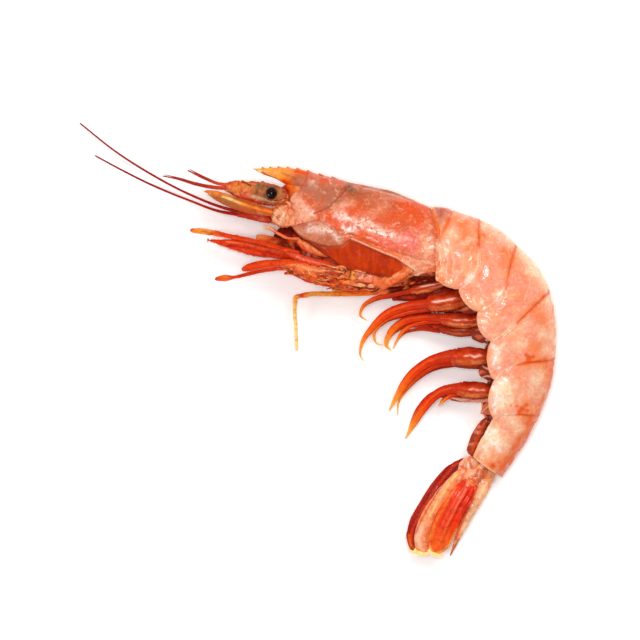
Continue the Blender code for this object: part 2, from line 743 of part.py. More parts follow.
# Rows: x and y in pixels, then height and diameter in mm, from the root to the tip.
LEG_ROWS = {
    1: [
        (300.0, 253.5, 15.3, 1.5),
        (288.0, 251.0, 14.6, 1.7),
        (274.0, 246.6, 13.2, 1.6),
        (256.0, 241.6, 11.4, 1.5),
        (232.0, 236.6, 9.0, 1.4),
        (212.0, 232.6, 7.4, 1.8),
        (200.0, 231.0, 6.8, 1.9),
        (189.8, 230.2, 6.4, 1.1),
    ],
    2: [
        (338.0, 274.6, 14.6, 2.0),
        (316.0, 269.6, 14.8, 2.4),
        (296.0, 263.8, 14.6, 2.6),
        (276.0, 263.4, 13.2, 2.4),
        (260.0, 265.2, 12.2, 2.8),
        (250.0, 267.4, 11.6, 2.6),
        (241.6, 269.8, 11.2, 1.2),
    ],
    3: [
        (352.0, 284.6, 13.6, 2.2),
        (328.0, 281.0, 13.7, 2.6),
        (304.0, 274.4, 12.9, 2.4),
        (290.0, 268.4, 11.6, 2.0),
        (270.0, 269.2, 9.8, 1.5),
        (248.0, 274.0, 8.4, 1.2),
        (233.0, 277.4, 7.6, 1.2),
        (224.0, 278.0, 7.2, 2.1),
        (214.6, 279.2, 6.8, 1.0),
    ],
    4: [
        (400.0, 283.6, 13.6, 1.6),
        (380.0, 285.2, 14.6, 1.7),
        (358.0, 284.2, 15.8, 1.6),
        (341.0, 282.0, 16.4, 1.4),
        (333.0, 284.0, 16.0, 1.2),
        (342.0, 288.0, 14.6, 1.0),
        (360.0, 289.6, 13.6, 0.8),
    ],
    5: [
        (412.0, 285.0, 12.0, 1.4),
        (396.0, 289.4, 11.4, 1.7),
        (374.0, 292.4, 10.0, 1.8),
        (340.0, 294.0, 7.4, 1.6),
        (304.0, 295.2, 5.4, 1.5),
        (296.0, 297.4, 4.9, 1.4),
        (294.8, 305.0, 4.3, 1.2),
        (295.8, 328.0, 2.3, 1.0),
        (297.0, 350.6, 0.9, 0.8),
    ],
}
# The last right leg is folded back on itself under the body.
RIGHT_LEG_5 = [
    (408.0, 285.5, 7.0, 1.5),
    (390.0, 289.0, 6.0, 1.7),
    (364.0, 291.4, 4.6, 1.6),
    (342.0, 291.6, 3.4, 1.4),
    (334.0, 289.6, 2.6, 1.3),
    (344.0, 287.0, 1.6, 1.1),
    (366.0, 287.6, 1.1, 0.9),
    (388.0, 288.6, 0.9, 0.7),
]
LEG_STEPS = {1: 14, 2: 12, 3: 15, 4: 13, 5: 18}
RIGHT_LEG_STEPS = {1: 11, 2: 9, 3: 12, 4: 10, 5: 15}
RIGHT_LEG_KEEP = {1: 0.84, 2: 0.84, 3: 0.55, 4: 0.84}
RIGHT_LEG_SHIFT = {1: (2.0, 1.0), 2: (2.0, 2.5), 3: (3.0, 5.5), 4: (0.0, 0.0)}
RIGHT_LEG_DROP = {1: RIGHT_DROP, 2: RIGHT_DROP, 3: RIGHT_DROP, 4: -1.0}

for number, rows in LEG_ROWS.items():
    tube(f"leg_{number}_left", rows, LIMB, steps=LEG_STEPS[number])
    if number in RIGHT_LEG_SHIFT:
        keep, shift, drop = RIGHT_LEG_KEEP[number], RIGHT_LEG_SHIFT[number], RIGHT_LEG_DROP[number]
        rows = under(rows, HEAD_MIDDLE, keep, shift, drop)
    else:
        rows = RIGHT_LEG_5
    tube(f"leg_{number}_right", rows, LIMB, steps=RIGHT_LEG_STEPS[number])


# ------------------------------------------------ swimmerets: a stout base with one or two lashes

# For each pair: base, outer lash, inner lash. Rows: x and y in pixels, then height, breadth and thickness
# in mm.
SWIMMERETS = {
    1: (
        [(446.0, 282.4, 10.8, 1.8, 1.8), (430.0, 285.4, 10.4, 3.4, 2.2), (408.0, 290.8, 8.8, 2.6, 1.6)],
        [
            (414.0, 289.4, 9.1, 2.4, 1.6),
            (392.0, 294.6, 7.6, 1.7, 1.3),
            (374.0, 299.0, 6.2, 1.4, 1.0),
            (362.8, 307.0, 5.0, 1.1, 0.8),
            (360.4, 315.6, 3.8, 0.7, 0.6),
            (367.0, 320.6, 3.0, 0.3, 0.3),
        ],
    ),
    2: (
        [(470.0, 298.0, 11.4, 3.0, 2.4), (450.0, 301.0, 11.4, 5.6, 3.0), (426.0, 304.6, 10.6, 4.4, 2.4)],
        [
            (432.0, 303.4, 10.8, 3.2, 2.0),
            (408.0, 306.4, 9.8, 3.0, 1.6),
            (388.0, 313.6, 8.6, 2.8, 1.3),
            (372.0, 328.0, 6.6, 2.0, 1.0),
            (361.6, 345.0, 4.6, 1.1, 0.7),
            (360.6, 356.0, 3.4, 0.6, 0.5),
            (364.0, 361.4, 2.8, 0.3, 0.3),
        ],
        [
            (430.0, 308.4, 10.0, 1.8, 1.4),
            (404.0, 313.2, 9.0, 1.7, 1.1),
            (384.0, 321.0, 7.6, 1.4, 0.9),
            (374.2, 333.0, 6.0, 1.0, 0.8),
            (377.0, 343.6, 5.0, 0.5, 0.5),
            (383.5, 345.0, 4.6, 0.3, 0.3),
        ],
    ),
    3: (
        [(484.0, 320.0, 9.9, 3.2, 2.0), (464.0, 321.0, 9.7, 4.8, 2.4), (440.0, 318.4, 8.9, 3.6, 1.8)],
        [
            (444.0, 317.8, 9.0, 3.0, 1.6),
            (422.0, 317.6, 7.2, 2.4, 1.3),
            (402.0, 322.4, 5.6, 2.4, 1.1),
            (389.6, 334.4, 4.2, 2.0, 1.0),
            (386.6, 345.6, 3.2, 1.2, 0.8),
            (391.4, 350.8, 2.6, 0.4, 0.4),
        ],
        [
            (442.0, 321.4, 8.5, 1.6, 1.2),
            (420.0, 323.0, 6.6, 1.4, 0.9),
            (403.6, 330.8, 4.8, 1.1, 0.8),
            (396.4, 342.0, 3.6, 0.7, 0.6),
            (393.2, 349.0, 2.8, 0.5, 0.4),
        ],
    ),
    4: (
        [(492.0, 357.0, 9.6, 4.2, 2.4), (470.0, 356.6, 9.8, 6.2, 3.0), (449.0, 357.2, 9.0, 4.8, 2.2)],
        [
            (454.0, 355.6, 9.2, 4.4, 1.9),
            (430.0, 361.6, 8.0, 3.2, 1.5),
            (410.0, 377.0, 6.2, 2.9, 1.2),
            (398.0, 395.0, 4.4, 1.9, 0.9),
            (389.0, 411.4, 3.0, 0.4, 0.4),
        ],
        [
            (458.0, 360.6, 8.8, 1.8, 1.2),
            (432.0, 367.4, 6.9, 1.6, 0.9),
            (411.0, 384.0, 4.8, 1.2, 0.8),
            (398.4, 404.0, 3.0, 0.7, 0.5),
            (398.0, 416.4, 2.4, 0.3, 0.3),
        ],
    ),
    5: (
        [(493.0, 391.0, 8.4, 3.8, 2.2), (474.0, 390.4, 8.6, 5.6, 2.6), (455.0, 388.4, 7.8, 3.8, 2.0)],
        [
            (461.0, 388.0, 8.0, 3.6, 1.7),
            (441.0, 392.0, 7.0, 3.0, 1.4),
            (424.0, 408.0, 5.2, 2.7, 1.1),
            (413.0, 426.0, 3.6, 1.7, 0.8),
            (405.4, 439.4, 2.4, 0.4, 0.4),
        ],
        [
            (466.0, 391.6, 8.0, 1.8, 1.2),
            (450.0, 396.4, 6.6, 1.4, 0.8),
            (438.0, 406.0, 5.2, 0.5, 0.4),
        ],
    ),
}
# How far each right swimmeret shows beyond the left one, in pixels.
RIGHT_SHIFT = {1: (2.0, 2.0), 2: (2.0, 3.0), 3: (-1.0, 10.0), 4: (1.0, 3.5), 5: (-10.5, 5.0)}
RIGHT_KEEP = 0.86
RIGHT_SLIM = 0.78
# The share of that shift which is left at the tip of a lash, where it lies under the left one.
RIGHT_TIP_SHIFT = 0.1


def right_swimmeret(rows, number, root_height, keep, tip_shift):
    """The right-hand limb of a pair, slimmer and lower, which shows beyond the left one by its shift."""
    middle = (TAIL_JOINTS[number, 4] + TAIL_JOINTS[number - 1, 4]) / 2 - REST_PRESS
    route = smooth(rows, ROUTE_STEPS)[: round(ROUTE_STEPS * keep)]
    fade = np.linspace(1.0, tip_shift, len(route))
    route[:, :2] += np.outer(fade, RIGHT_SHIFT[number])
    route[:, 2] = np.maximum(2 * middle - 2 * root_height + route[:, 2], RIGHT_LOWEST)
    route[:, 3:] *= RIGHT_SLIM
    return route


def build_swimmeret(name, base, lashes, sides, steps):
    pieces = [limb("base", base, LIMB, sides=sides, steps=5)]
    pieces.extend(limb("lash", lash, LIMB, sides=sides, steps=steps) for lash in lashes)
    fused(name, *pieces)


for number, (base, *lashes) in SWIMMERETS.items():
    root_height = base[0][2]
    build_swimmeret(f"pleopod_{number}_left", base, lashes, 8, 10)
    base = right_swimmeret(base, number, root_height, 1.0, 1.0)
    lashes = [right_swimmeret(lash, number, root_height, RIGHT_KEEP, RIGHT_TIP_SHIFT) for lash in lashes]
    build_swimmeret(f"pleopod_{number}_right", base, lashes, 6, 8)
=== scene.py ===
import math

import bmesh
import bpy
import numpy as np
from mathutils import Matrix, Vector, noise


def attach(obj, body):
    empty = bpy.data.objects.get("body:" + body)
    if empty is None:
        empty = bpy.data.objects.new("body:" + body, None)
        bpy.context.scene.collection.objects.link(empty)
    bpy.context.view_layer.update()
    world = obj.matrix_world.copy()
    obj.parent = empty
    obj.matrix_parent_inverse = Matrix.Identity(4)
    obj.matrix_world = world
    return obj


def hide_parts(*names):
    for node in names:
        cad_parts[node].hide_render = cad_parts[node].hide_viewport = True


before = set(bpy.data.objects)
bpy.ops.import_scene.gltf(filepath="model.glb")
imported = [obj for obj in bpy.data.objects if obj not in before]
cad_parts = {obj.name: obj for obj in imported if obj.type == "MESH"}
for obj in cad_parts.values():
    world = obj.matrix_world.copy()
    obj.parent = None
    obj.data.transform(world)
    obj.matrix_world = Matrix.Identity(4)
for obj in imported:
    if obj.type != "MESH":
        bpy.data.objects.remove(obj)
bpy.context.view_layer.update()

# ---------------------------------------------------------------- tail
# Six arched plates of thin, wet shell, each full of pale flesh. The rear lip of each plate lies over the
# front of the next, and its two sides hang down as rounded flaps, so that the tail can curl.

MM = 0.001
PIXEL = 0.31 * MM
PHOTO_ORIGIN = (317.1, 339.1)


def at(x_px, y_px, height=0.0):
    """Points over these pixels of the photograph, at this height above the table in mm."""
    x_px, y_px, height = np.broadcast_arrays(x_px, y_px, height)
    places = ((x_px - PHOTO_ORIGIN[0]) * PIXEL, (PHOTO_ORIGIN[1] - y_px) * PIXEL, height * MM)
    return np.stack(places, axis=-1)


def pixels(points):
    """The pixels, x and y, that these points lie over."""
    return points[..., 0] / PIXEL + PHOTO_ORIGIN[0], PHOTO_ORIGIN[1] - points[..., 1] / PIXEL


def ease(value, low, high):
    """0 up to low, 1 from high, and smooth between them. It also works downwards."""
    share = np.clip((value - low) / (high - low), 0.0, 1.0)
    return share * share * (3 - 2 * share)


def hump(value, width, middle=0.0):
    """1 where the value is at the middle, and smoothly down to 0 about two widths away on both sides."""
    return np.exp(-(((value - middle) / width) ** 2))


def lumps(points, size, seed=0.0):
    """Smooth noise from -1 to 1 over these points, with features of this size in mm."""
    flat = points.reshape(-1, 3) / (size * MM) + seed
    values = np.fromiter((noise.noise(place) for place in flat.tolist()), float, len(flat))
    return values.reshape(points.shape[:-1])


def outward(grid):
    """The outward normal at each point of a grid of closed rings."""
    along = np.gradient(grid, axis=0)
    around = np.roll(grid, -1, axis=1) - np.roll(grid, 1, axis=1)
    normal = np.cross(around, along)
    normal /= np.maximum(np.linalg.norm(normal, axis=-1, keepdims=True), 1e-12)
    from_middle = grid - grid.mean(axis=1, keepdims=True)
    return normal * np.sign((normal * from_middle).sum())


def line_distance(x, y, line):
    """Distance in pixels from a line through these pixels, and the share of the line at its nearest point."""
    line = np.asarray(line, float)
    best = np.full(np.shape(x), np.inf)
    share = np.zeros(np.shape(x))
    for i, (start, end) in enumerate(zip(line, line[1:])):
        run = end - start
        u = np.clip(((x - start[0]) * run[0] + (y - start[1]) * run[1]) / (run @ run), 0.0, 1.0)
        away = np.hypot(x - start[0] - u * run[0], y - start[1] - u * run[1])
        nearer = away < best
        best = np.where(nearer, away, best)
        share = np.where(nearer, (i + u) / (len(line) - 1), share)
    return best, share


def stroke(x, y, line, width, start=1.0, end=1.0):
    """A soft line through these pixels, of this half width, as strong at its ends as start and end say."""
    away, share = line_distance(x, y, line)
    return (start + (end - start) * share) * hump(away, width)


def spots(x, y, places):
    """Soft round spots. Each place is x, y, radius and strength, in pixels."""
    total = np.zeros(np.shape(x))
    for x_px, y_px, radius, strength in places:
        total += strength * np.exp(-((x - x_px) ** 2 + (y - y_px) ** 2) / radius**2)
    return np.clip(total, 0.0, 1.0)


def wander(grid, size, reach, seed):
    """The pixels under these points, shifted by smooth noise, so that what is painted there is ragged."""
    x, y = pixels(grid)
    x = x + reach * lumps(grid, size, seed) + reach / 2 * lumps(grid, size / 3, seed + 20)
    y = y + reach * lumps(grid, size, seed + 40) + reach / 2 * lumps(grid, size / 3, seed + 60)
    return x, y


def skin(name, parts, paint, node):
    """A piece of the animal: closed skins over grids of rings, each with its masks, for a CAD node."""
    corners, faces, values = [], [], {}
    count = 0
    names = sorted({mask for _, masks in parts for mask in masks})
    for grid, masks in parts:
        rows, around = grid.shape[:2]
        corners.append(grid.reshape(-1, 3))
        index = count + np.arange(rows * around).reshape(rows, around)
        after = np.roll(index, -1, axis=1)
        quads = np.stack([index[:-1], after[:-1], after[1:], index[1:]], axis=-1).reshape(-1, 4)
        faces.extend(quads.tolist())
        faces.append(index[0, ::-1].tolist())
        faces.append(index[-1].tolist())
        for mask in names:
            value = np.asarray(masks.get(mask, 0.0))
            shape = (rows, around, 3) if mask == "tone" else (rows, around)
            values.setdefault(mask, []).append(np.broadcast_to(value, shape).reshape(rows * around, -1))
        count += rows * around
    mesh = bpy.data.meshes.new(name)
    mesh.from_pydata(np.concatenate(corners).tolist(), [], faces)
    for mask in names:
        value = np.concatenate(values[mask]).astype(np.float32)
        if mask == "tone":
            layer = mesh.attributes.new(mask, "FLOAT_COLOR", "POINT")
            layer.data.foreach_set("color", np.pad(value, ((0, 0), (0, 1)), constant_values=1.0).ravel())
        else:
            layer = mesh.attributes.new(mask, "FLOAT", "POINT")
            layer.data.foreach_set("value", value.ravel())
    mesh.shade_smooth()
    mesh.validate()
    place_piece(name, mesh, paint, node)


def place_piece(name, mesh, paint, node):
    """Stands a mesh in place of a CAD node, with its faces turned outwards, as a grid may run either way."""
    mesh.materials.append(paint.material)
    cage = bmesh.new()
    cage.from_mesh(mesh)
    bmesh.ops.recalc_face_normals(cage, faces=cage.faces)
    cage.to_mesh(mesh)
    cage.free()
    piece = bpy.data.objects.new(name, mesh)
    bpy.context.scene.collection.objects.link(piece)
    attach(piece, "root")
    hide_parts(node)


class Value:
    """One output of a material's nodes. A sum, product or power of values adds its own Math node."""

    def __init__(self, paint, socket):
        self.paint = paint
        self.socket = socket

    def math(self, operation, *terms):
        return self.paint.node("ShaderNodeMath", {"operation": operation}, dict(enumerate(terms)))

    def __add__(self, other):
        return self.math("ADD", self, other)

    def __sub__(self, other):
        return self.math("SUBTRACT", self, other)

    def __rsub__(self, other):
        return self.math("SUBTRACT", other, self)

    def __mul__(self, other):
        return self.math("MULTIPLY", self, other)

    def __abs__(self):
        return self.math("ABSOLUTE", self)

    def clip(self, low, high):
        """0 up to low, 1 from high, and smooth between them."""
        values = {"Value": self, "From Min": low, "From Max": high}
        return self.paint.node("ShaderNodeMapRange", {"interpolation_type": "SMOOTHSTEP"}, values)

    __radd__ = __add__
    __rmul__ = __mul__


class Paint:
    """A material for wet, slightly clear tissue, and the nodes that colour it."""

    def __init__(self, name, roughness, film=0.5, depth=0.12, glow=(1.0, 0.32, 0.16)):
        self.material = bpy.data.materials.new(name)
        self.material.use_nodes = True
        self.tree = self.material.node_tree
        self.shader = self.tree.nodes["Principled BSDF"]
        self.put(self.shader.inputs["Roughness"], roughness)
        self.put(self.shader.inputs["Specular IOR Level"], 0.1)
        self.put(self.shader.inputs["Coat Weight"], film)
        self.put(self.shader.inputs["Coat Roughness"], 0.16)
        self.put(self.shader.inputs["Coat IOR"], 1.45)
        self.put(self.shader.inputs["Subsurface Weight"], depth)
        self.put(self.shader.inputs["Subsurface Radius"], glow)
        self.put(self.shader.inputs["Subsurface Scale"], 1.6 * MM)

    def put(self, socket, value):
        if isinstance(value, Value):
            self.tree.links.new(value.socket, socket)
        elif socket.type == "RGBA":
            socket.default_value = (*value, 1.0)
        else:
            socket.default_value = value

    def node(self, kind, settings=None, values=None, output=0):
        made = self.tree.nodes.new(kind)
        for key, setting in (settings or {}).items():
            setattr(made, key, setting)
        for key, value in (values or {}).items():
            self.put(made.inputs[key], value)
        return Value(self, made.outputs[output])

    def mask(self, name):
        return self.node("ShaderNodeAttribute", {"attribute_name": name}, output="Fac")

    def grain(self, size, detail=3.0, roughness=0.55, where=None, warp=0.0):
        """Cloudy noise from 0 to 1, with features of this size in mm."""
        where = where or self.node("ShaderNodeTexCoord", output="Object")
        values = {"Vector": where, "Scale": 1 / (size * MM), "Detail": detail, "Roughness": roughness}
        values["Distortion"] = warp
        return self.node("ShaderNodeTexNoise", values=values)

    def veins(self, size, width, warp=1.0):
        """Thin wandering lines, 1 on a line and 0 beside it. Size in mm."""
        return abs(self.grain(size, 2.0, 0.5, warp=warp) - 0.5).clip(width, 0.0)

    def wet(self, size, least, dull=0.0):
        """The water film lies in patches of this size in mm: 1 in the wet ones, least in the dry ones, and
        gone where dull is 1."""
        patches = self.grain(size, 3.0).clip(0.42, 0.58)
        self.put(self.shader.inputs["Coat Weight"], (least + (1 - least) * patches) * (1 - dull))

    def stretched(self, *scale):
        """The place on the piece with its three axes scaled, so that a grain read there runs in streaks."""
        place = self.node("ShaderNodeTexCoord", output="Object")
        return self.node("ShaderNodeMapping", {"vector_type": "POINT"}, {"Vector": place, "Scale": scale})

    def mix(self, share, first, second):
        """The first colour, or the second where share is 1."""
        return self.node("ShaderNodeMix", {"data_type": "RGBA"}, {0: share, 6: first, 7: second}, output=2)

    def lay(self, share, colour):
        """Lays a colour over the tones so far, as thick as share says."""
        self.tone = self.mix(share, self.tone, colour)

    def colour(self, value):
        self.put(self.shader.inputs["Base Color"], value)

    def relief(self, height, depth):
        """Bump of this depth in mm."""
        values = {"Height": height, "Distance": depth * MM, "Strength": 1.0}
        self.put(self.shader.inputs["Normal"], self.node("ShaderNodeBump", values=values))


def smooth(knots, count, ends=0.0):
    """Steps along a smooth curve through the knots, closer together at both ends as ends goes from 0 to 1."""
    knots = np.asarray(knots, float)
    reach = np.concatenate([[0.0], np.cumsum(np.linalg.norm(np.diff(knots[:, :2], axis=0), axis=1))])
    slope = np.gradient(knots, reach, axis=0)
    even = np.linspace(0.0, 1.0, count)
    where = reach[-1] * (even * (1 - ends) + ends * (1 - np.cos(math.pi * even)) / 2)
    low = np.clip(np.searchsorted(reach, where, side="right") - 1, 0, len(reach) - 2)
    step = (reach[low + 1] - reach[low])[:, None]
    u = (where - reach[low])[:, None] / step
    start = (1 + 2 * u) * (1 - u) ** 2 * knots[low] + u * (1 - u) ** 2 * step * slope[low]
    return start + u * u * (3 - 2 * u) * knots[low + 1] - u * u * (1 - u) * step * slope[low + 1]


# Shares of a section's depth and half width: where it is widest, how far out the side plate ends, and how
# late the flank turns in on its way there.
WIDEST = 0.52
PLATE_SPREAD = 0.78
FLANK_TURN = 1.8
SHELL_EDGE = 0.9
BOW_PEAK = 2 / 3
ARCH_POINTS, FLANK_POINTS, EDGE_POINTS, BELLY_POINTS = 46, 56, 7, 12


def half_section(depth, half_width, belly):
    """Half a section from the middle of the back to that of the belly: down and out in mm, and the share
    of the way to the plate's edge, which passes 1 on the inside."""
    turn = np.linspace(0.0, math.pi / 2, ARCH_POINTS)
    flank = np.linspace(0.0, 1.0, FLANK_POINTS + 1)[1:]
    edge = np.linspace(0.0, math.pi, EDGE_POINTS + 2)[1:-1]
    under = np.linspace(0.0, 1.0, BELLY_POINTS)
    rim = half_width * PLATE_SPREAD
    inner = rim - SHELL_EDGE
    down = [
        depth * WIDEST * (1 - np.cos(turn)),
        depth * (WIDEST + (1 - WIDEST) * flank),
        depth + SHELL_EDGE / 3 * np.sin(edge),
        depth - SHELL_EDGE / 3 + (belly + SHELL_EDGE / 3 - depth) * under,
        belly + SHELL_EDGE / 2 * under,
    ]
    out = [
        half_width * np.sin(turn),
        half_width * (1 - (1 - PLATE_SPREAD) * flank**FLANK_TURN),
        rim - SHELL_EDGE / 2 + SHELL_EDGE / 2 * np.cos(edge),
        inner - SHELL_EDGE * under / 2,
        (inner - SHELL_EDGE / 2) * (1 - under),
    ]
    share = [
        0.5 * turn / (math.pi / 2),
        0.5 + 0.5 * flank,
        np.full(EDGE_POINTS, 1.02),
        np.linspace(1.1, 1.4, BELLY_POINTS),
        np.linspace(1.4, 2.0, BELLY_POINTS),
    ]
    return np.concatenate(down), np.concatenate(out), np.concatenate(share)


def section(back, edge, half_width, roll, height, belly_up, bow=0.0):
    """A ring of the trunk whose back and left lower edge lie over these pixels, and each point's share of
    the way from back to edge. roll turns the belly up to the viewer, in degrees. bow leans the flank."""
    back, edge = at(*back)[:2], at(*edge)[:2]
    down = edge - back
    reach = np.linalg.norm(down) / MM
    down = down / np.linalg.norm(down)
    tailward = np.array([-down[1], down[0], 0.0])
    turn = math.radians(roll)
    depth = (reach + half_width * PLATE_SPREAD * math.sin(turn)) / math.cos(turn)
    down_axis = np.array([*(down * math.cos(turn)), math.sin(turn)])
    out_axis = np.array([*(-down * math.sin(turn)), math.cos(turn)])
    middle = np.array([*(back + down * depth * MM / 2 * math.cos(turn)), height * MM])
    downward, out, share = half_section(depth, half_width, depth - belly_up)
    downward = np.concatenate([downward, downward[-2:0:-1]])
    out = np.concatenate([out, -out[-2:0:-1]])
    share = np.concatenate([share, share[-2:0:-1]])
    part = downward / depth
    lean = bow * part**2 * (1 - part) / (BOW_PEAK**2 * (1 - BOW_PEAK))
    ring = middle + (np.outer(downward - depth / 2, down_axis) + np.outer(out, out_axis)) * MM
    ring += np.outer(lean, tailward) * MM
    return ring, share


def on_table(grid):
    """Nothing sinks below the table."""
    grid[..., 2] = np.maximum(grid[..., 2], 0.0)
    return grid


def raised(grid, height):
    """The grid pushed outwards by this height in mm at each point, but not through the table."""
    return on_table(grid + outward(grid) * height[..., None] * MM)


# Each joint: back and left lower edge in pixels, half width in mm, roll in degrees and bow in mm.
TAIL_JOINTS = np.array([
    (432.6, 206.8, 438.5, 281, 9.3, 0, 0.4), (478, 219, 459.5, 289, 9.6, 1, 3.2),
    (515, 244, 478.5, 311, 9.4, 3, 3.2), (549, 289, 491.5, 341, 8.7, 6, 0.6),
    (555.2, 356.4, 495, 378.6, 7.6, 9, -2.2), (540.5, 413.6, 494, 417.6, 6.2, 13, -1),
    (502.5, 476.5, 474.5, 456, 4.5, 17, 0.3),
])
PLATE_BULGE = (1.5, 4.5, 6.0, 6.0, 5.5, 0.5)
BACK_HUMP = (2.2, 0.4, 0.6, 0.6, 0.6, 0.8)
PLATE_HANG = (2.6, 3.6, 3.8, 3.6, 3.2, 1.6)
FIRST_HUMP_SHARE = 0.62
PLATE_ROUNDNESS = 0.7
SEGMENT_SWELL = 0.25
LIP = 0.06
FRONT_LIFT = 0.55
LIP_REAR, LIP_FRONT = 0.20, 0.14
REST_PRESS = 0.5
ROLL_LIFT = 0.12
TUCK, OVERHANG = -0.05, 1.035
FIRST_TUCK, FIRST_SLIM = -0.14, 0.4
SEGMENT_ROWS = 64


def on_joint_curve(points, where):
    """A point of the smooth curve through the joints, at a whole number for each joint."""
    low = min(max(int(where), 0), len(points) - 2)
    u = where - low
    before, after = points[max(low - 1, 0)], points[min(low + 2, len(points) - 1)]
    start, end = points[low], points[low + 1]
    leave, arrive = (end - before) / 2, (after - start) / 2
    point = (1 + 2 * u) * (1 - u) ** 2 * start + u * (1 - u) ** 2 * leave
    return point + u * u * (3 - 2 * u) * end - u * u * (1 - u) * arrive


def tail_ring(segment, share):
    """The section of one segment at this share of its length, which may reach a little past its ends."""
    front, rear = TAIL_JOINTS[segment], TAIL_JOINTS[segment + 1]
    row = front * (1 - share) + rear * share
    half_width, roll, bow = row[4:7]
    inside = min(max(share, 0.0), 1.0)
    arch = math.sin(math.pi * inside) ** PLATE_ROUNDNESS
    chord = rear[2:4] - front[2:4]
    beside = np.array([-chord[1], chord[0]]) / np.linalg.norm(chord)
    edge = row[2:4] + beside * PLATE_BULGE[segment] * arch
    back = on_joint_curve(TAIL_JOINTS[:, 0:2], segment + share)
    up = (back - edge) / np.linalg.norm(back - edge)
    hump_share = min(1.0, inside / FIRST_HUMP_SHARE) if segment == 0 else inside
    tucked = max(0.0, 1 - share / LIP_FRONT) if segment else 0.0
    lip = LIP * (max(0.0, 1 - (1 - share) / LIP_REAR) - tucked)
    half_width += SEGMENT_SWELL * math.sin(math.pi * inside) + lip
    back = back + up * (BACK_HUMP[segment] * math.sin(math.pi * hump_share) + lip * MM / PIXEL)
    turn = math.radians(roll)
    height = half_width * math.cos(turn) * (1 + ROLL_LIFT * math.sin(turn)) - REST_PRESS
    if segment == 0:
        height += FRONT_LIFT * (1 - inside) ** 2
        half_width -= FIRST_SLIM * min(1.0, max(0.0, -share / -FIRST_TUCK))
    hang = PLATE_HANG[segment] + PLATE_BULGE[segment] * arch * PIXEL / MM
    return section(back, edge, half_width, roll, height, hang, bow)


# Places on the tail, in pixels: x, y, radius and strength.
TAIL_BLUSH = [
    (463, 224, 7, 1), (466, 236, 6, 1), (470, 248, 5, 0.9), (505, 252, 8, 0.7), (500, 266, 5, 0.6),
    (500, 290, 7, 0.45), (520, 300, 8, 0.6), (525, 276, 8, 0.6), (534, 345, 8, 0.8), (540, 318, 8, 0.8),
    (528, 404, 5, 0.7), (486, 465, 6, 0.7), (540, 352, 7, 0.6), (500, 450, 5, 0.4), (476, 262, 4, 0.6),
    (512, 338, 7, 0.4), (452, 266, 6, 0.5), (520, 380, 8, 0.3), (512, 452, 9, 0.35), (500, 462, 7, 0.5),
    (486, 236, 6, 0.5), (455, 216, 6, 0.9), (436, 268, 5, 0.9), (547, 372, 6, 0.4), (528, 440, 6, 0.4),
    (448, 228, 4, 0.7), (479, 276, 4, 0.8), (502, 255, 4, 0.7), (439, 262, 5, 1), (438, 274, 5, 1),
    (441, 282, 4, 0.9), (446, 270, 4, 0.5),
]
TAIL_ROSE = [
    (444, 210, 8, 0.9), (500, 238, 6, 0.5), (488, 270, 8, 0.9), (512, 284, 8, 0.7), (505, 312, 8, 0.7),
    (528, 328, 8, 0.5), (508, 356, 6, 0.6), (525, 392, 9, 0.6), (505, 430, 8, 0.6), (478, 318, 6, 0.8),
    (462, 284, 7, 0.9), (500, 372, 5, 0.7), (470, 292, 6, 0.8), (486, 252, 6, 0.6), (458, 248, 6, 0.6),
    (515, 368, 6, 0.5), (492, 302, 7, 0.6), (512, 412, 6, 0.5),
]
# Pale cream spots: the flesh's own colour, and at the pleura edges partly painted highlights.
TAIL_PALE = [
    (452, 234, 5, 0.6), (446, 250, 5, 0.4), (491, 434, 9, 1), (486, 448, 7, 0.8), (499, 386, 8, 0.7),
    (497, 352, 6, 0.8), (499, 397, 9, 1), (484, 322, 5, 0.6), (505, 445, 8, 0.5), (524, 325, 8, 0.4),
    (536, 380, 8, 0.7), (470, 278, 4, 0.9), (497, 294, 4, 0.8), (481, 303, 3, 0.8), (440, 258, 4, 0.6),
    (442, 270, 4, 0.5), (510, 390, 7, 0.6), (530, 392, 6, 0.4), (545, 350, 5, 0.4), (512, 420, 7, 0.6),
    (518, 345, 6, 0.5), (500, 405, 6, 0.8), (482, 228, 4, 0.4), (497, 360, 5, 0.7), (478, 440, 4, 0.5),
    (543, 335, 6, 0.6), (548, 300, 5, 0.8), (532, 272, 6, 0.8), (520, 430, 7, 0.6), (546, 395, 5, 0.5),
    (505, 385, 6, 0.5), (512, 330, 6, 0.4), (495, 440, 7, 0.7), (510, 400, 6, 0.4),
]
# Painted highlights: near-white spots where the wet pleura would catch the light.
TAIL_PAINTED_HIGHLIGHT = [
    (497, 350, 3.6, 1), (495, 359, 3, 1), (498, 368, 2.6, 0.8), (503, 344, 3, 0.5), (508, 351, 2.4, 0.4),
    (496, 396, 3.6, 1), (495, 389, 3.4, 1), (495, 404, 3.6, 1), (502, 400, 3.4, 0.6), (506, 380, 3.4, 0.5),
    (498, 383, 3, 0.8), (496, 411, 2.4, 0.8), (492, 346, 2.6, 0.8), (493, 364, 2.4, 0.9),
    (489, 432, 5, 0.8), (495, 443, 4, 0.9), (484, 448, 3, 0.6), (498, 450, 2.6, 0.7), (470, 278, 2.6, 1),
    (466, 281, 1.8, 0.8), (481, 302, 2.2, 0.9), (486, 313, 1.8, 0.6), (446, 242, 2.2, 0.9),
    (448, 250, 1.6, 0.7), (498, 293, 2.6, 0.7), (497, 300, 1.8, 0.6), (484, 330, 2.2, 0.6),
    (480, 322, 1.8, 0.5), (523, 345, 2.4, 0.3), (516, 384, 3, 0.3), (440, 246, 1.6, 0.8),
    (461, 284, 1.6, 0.6),
]
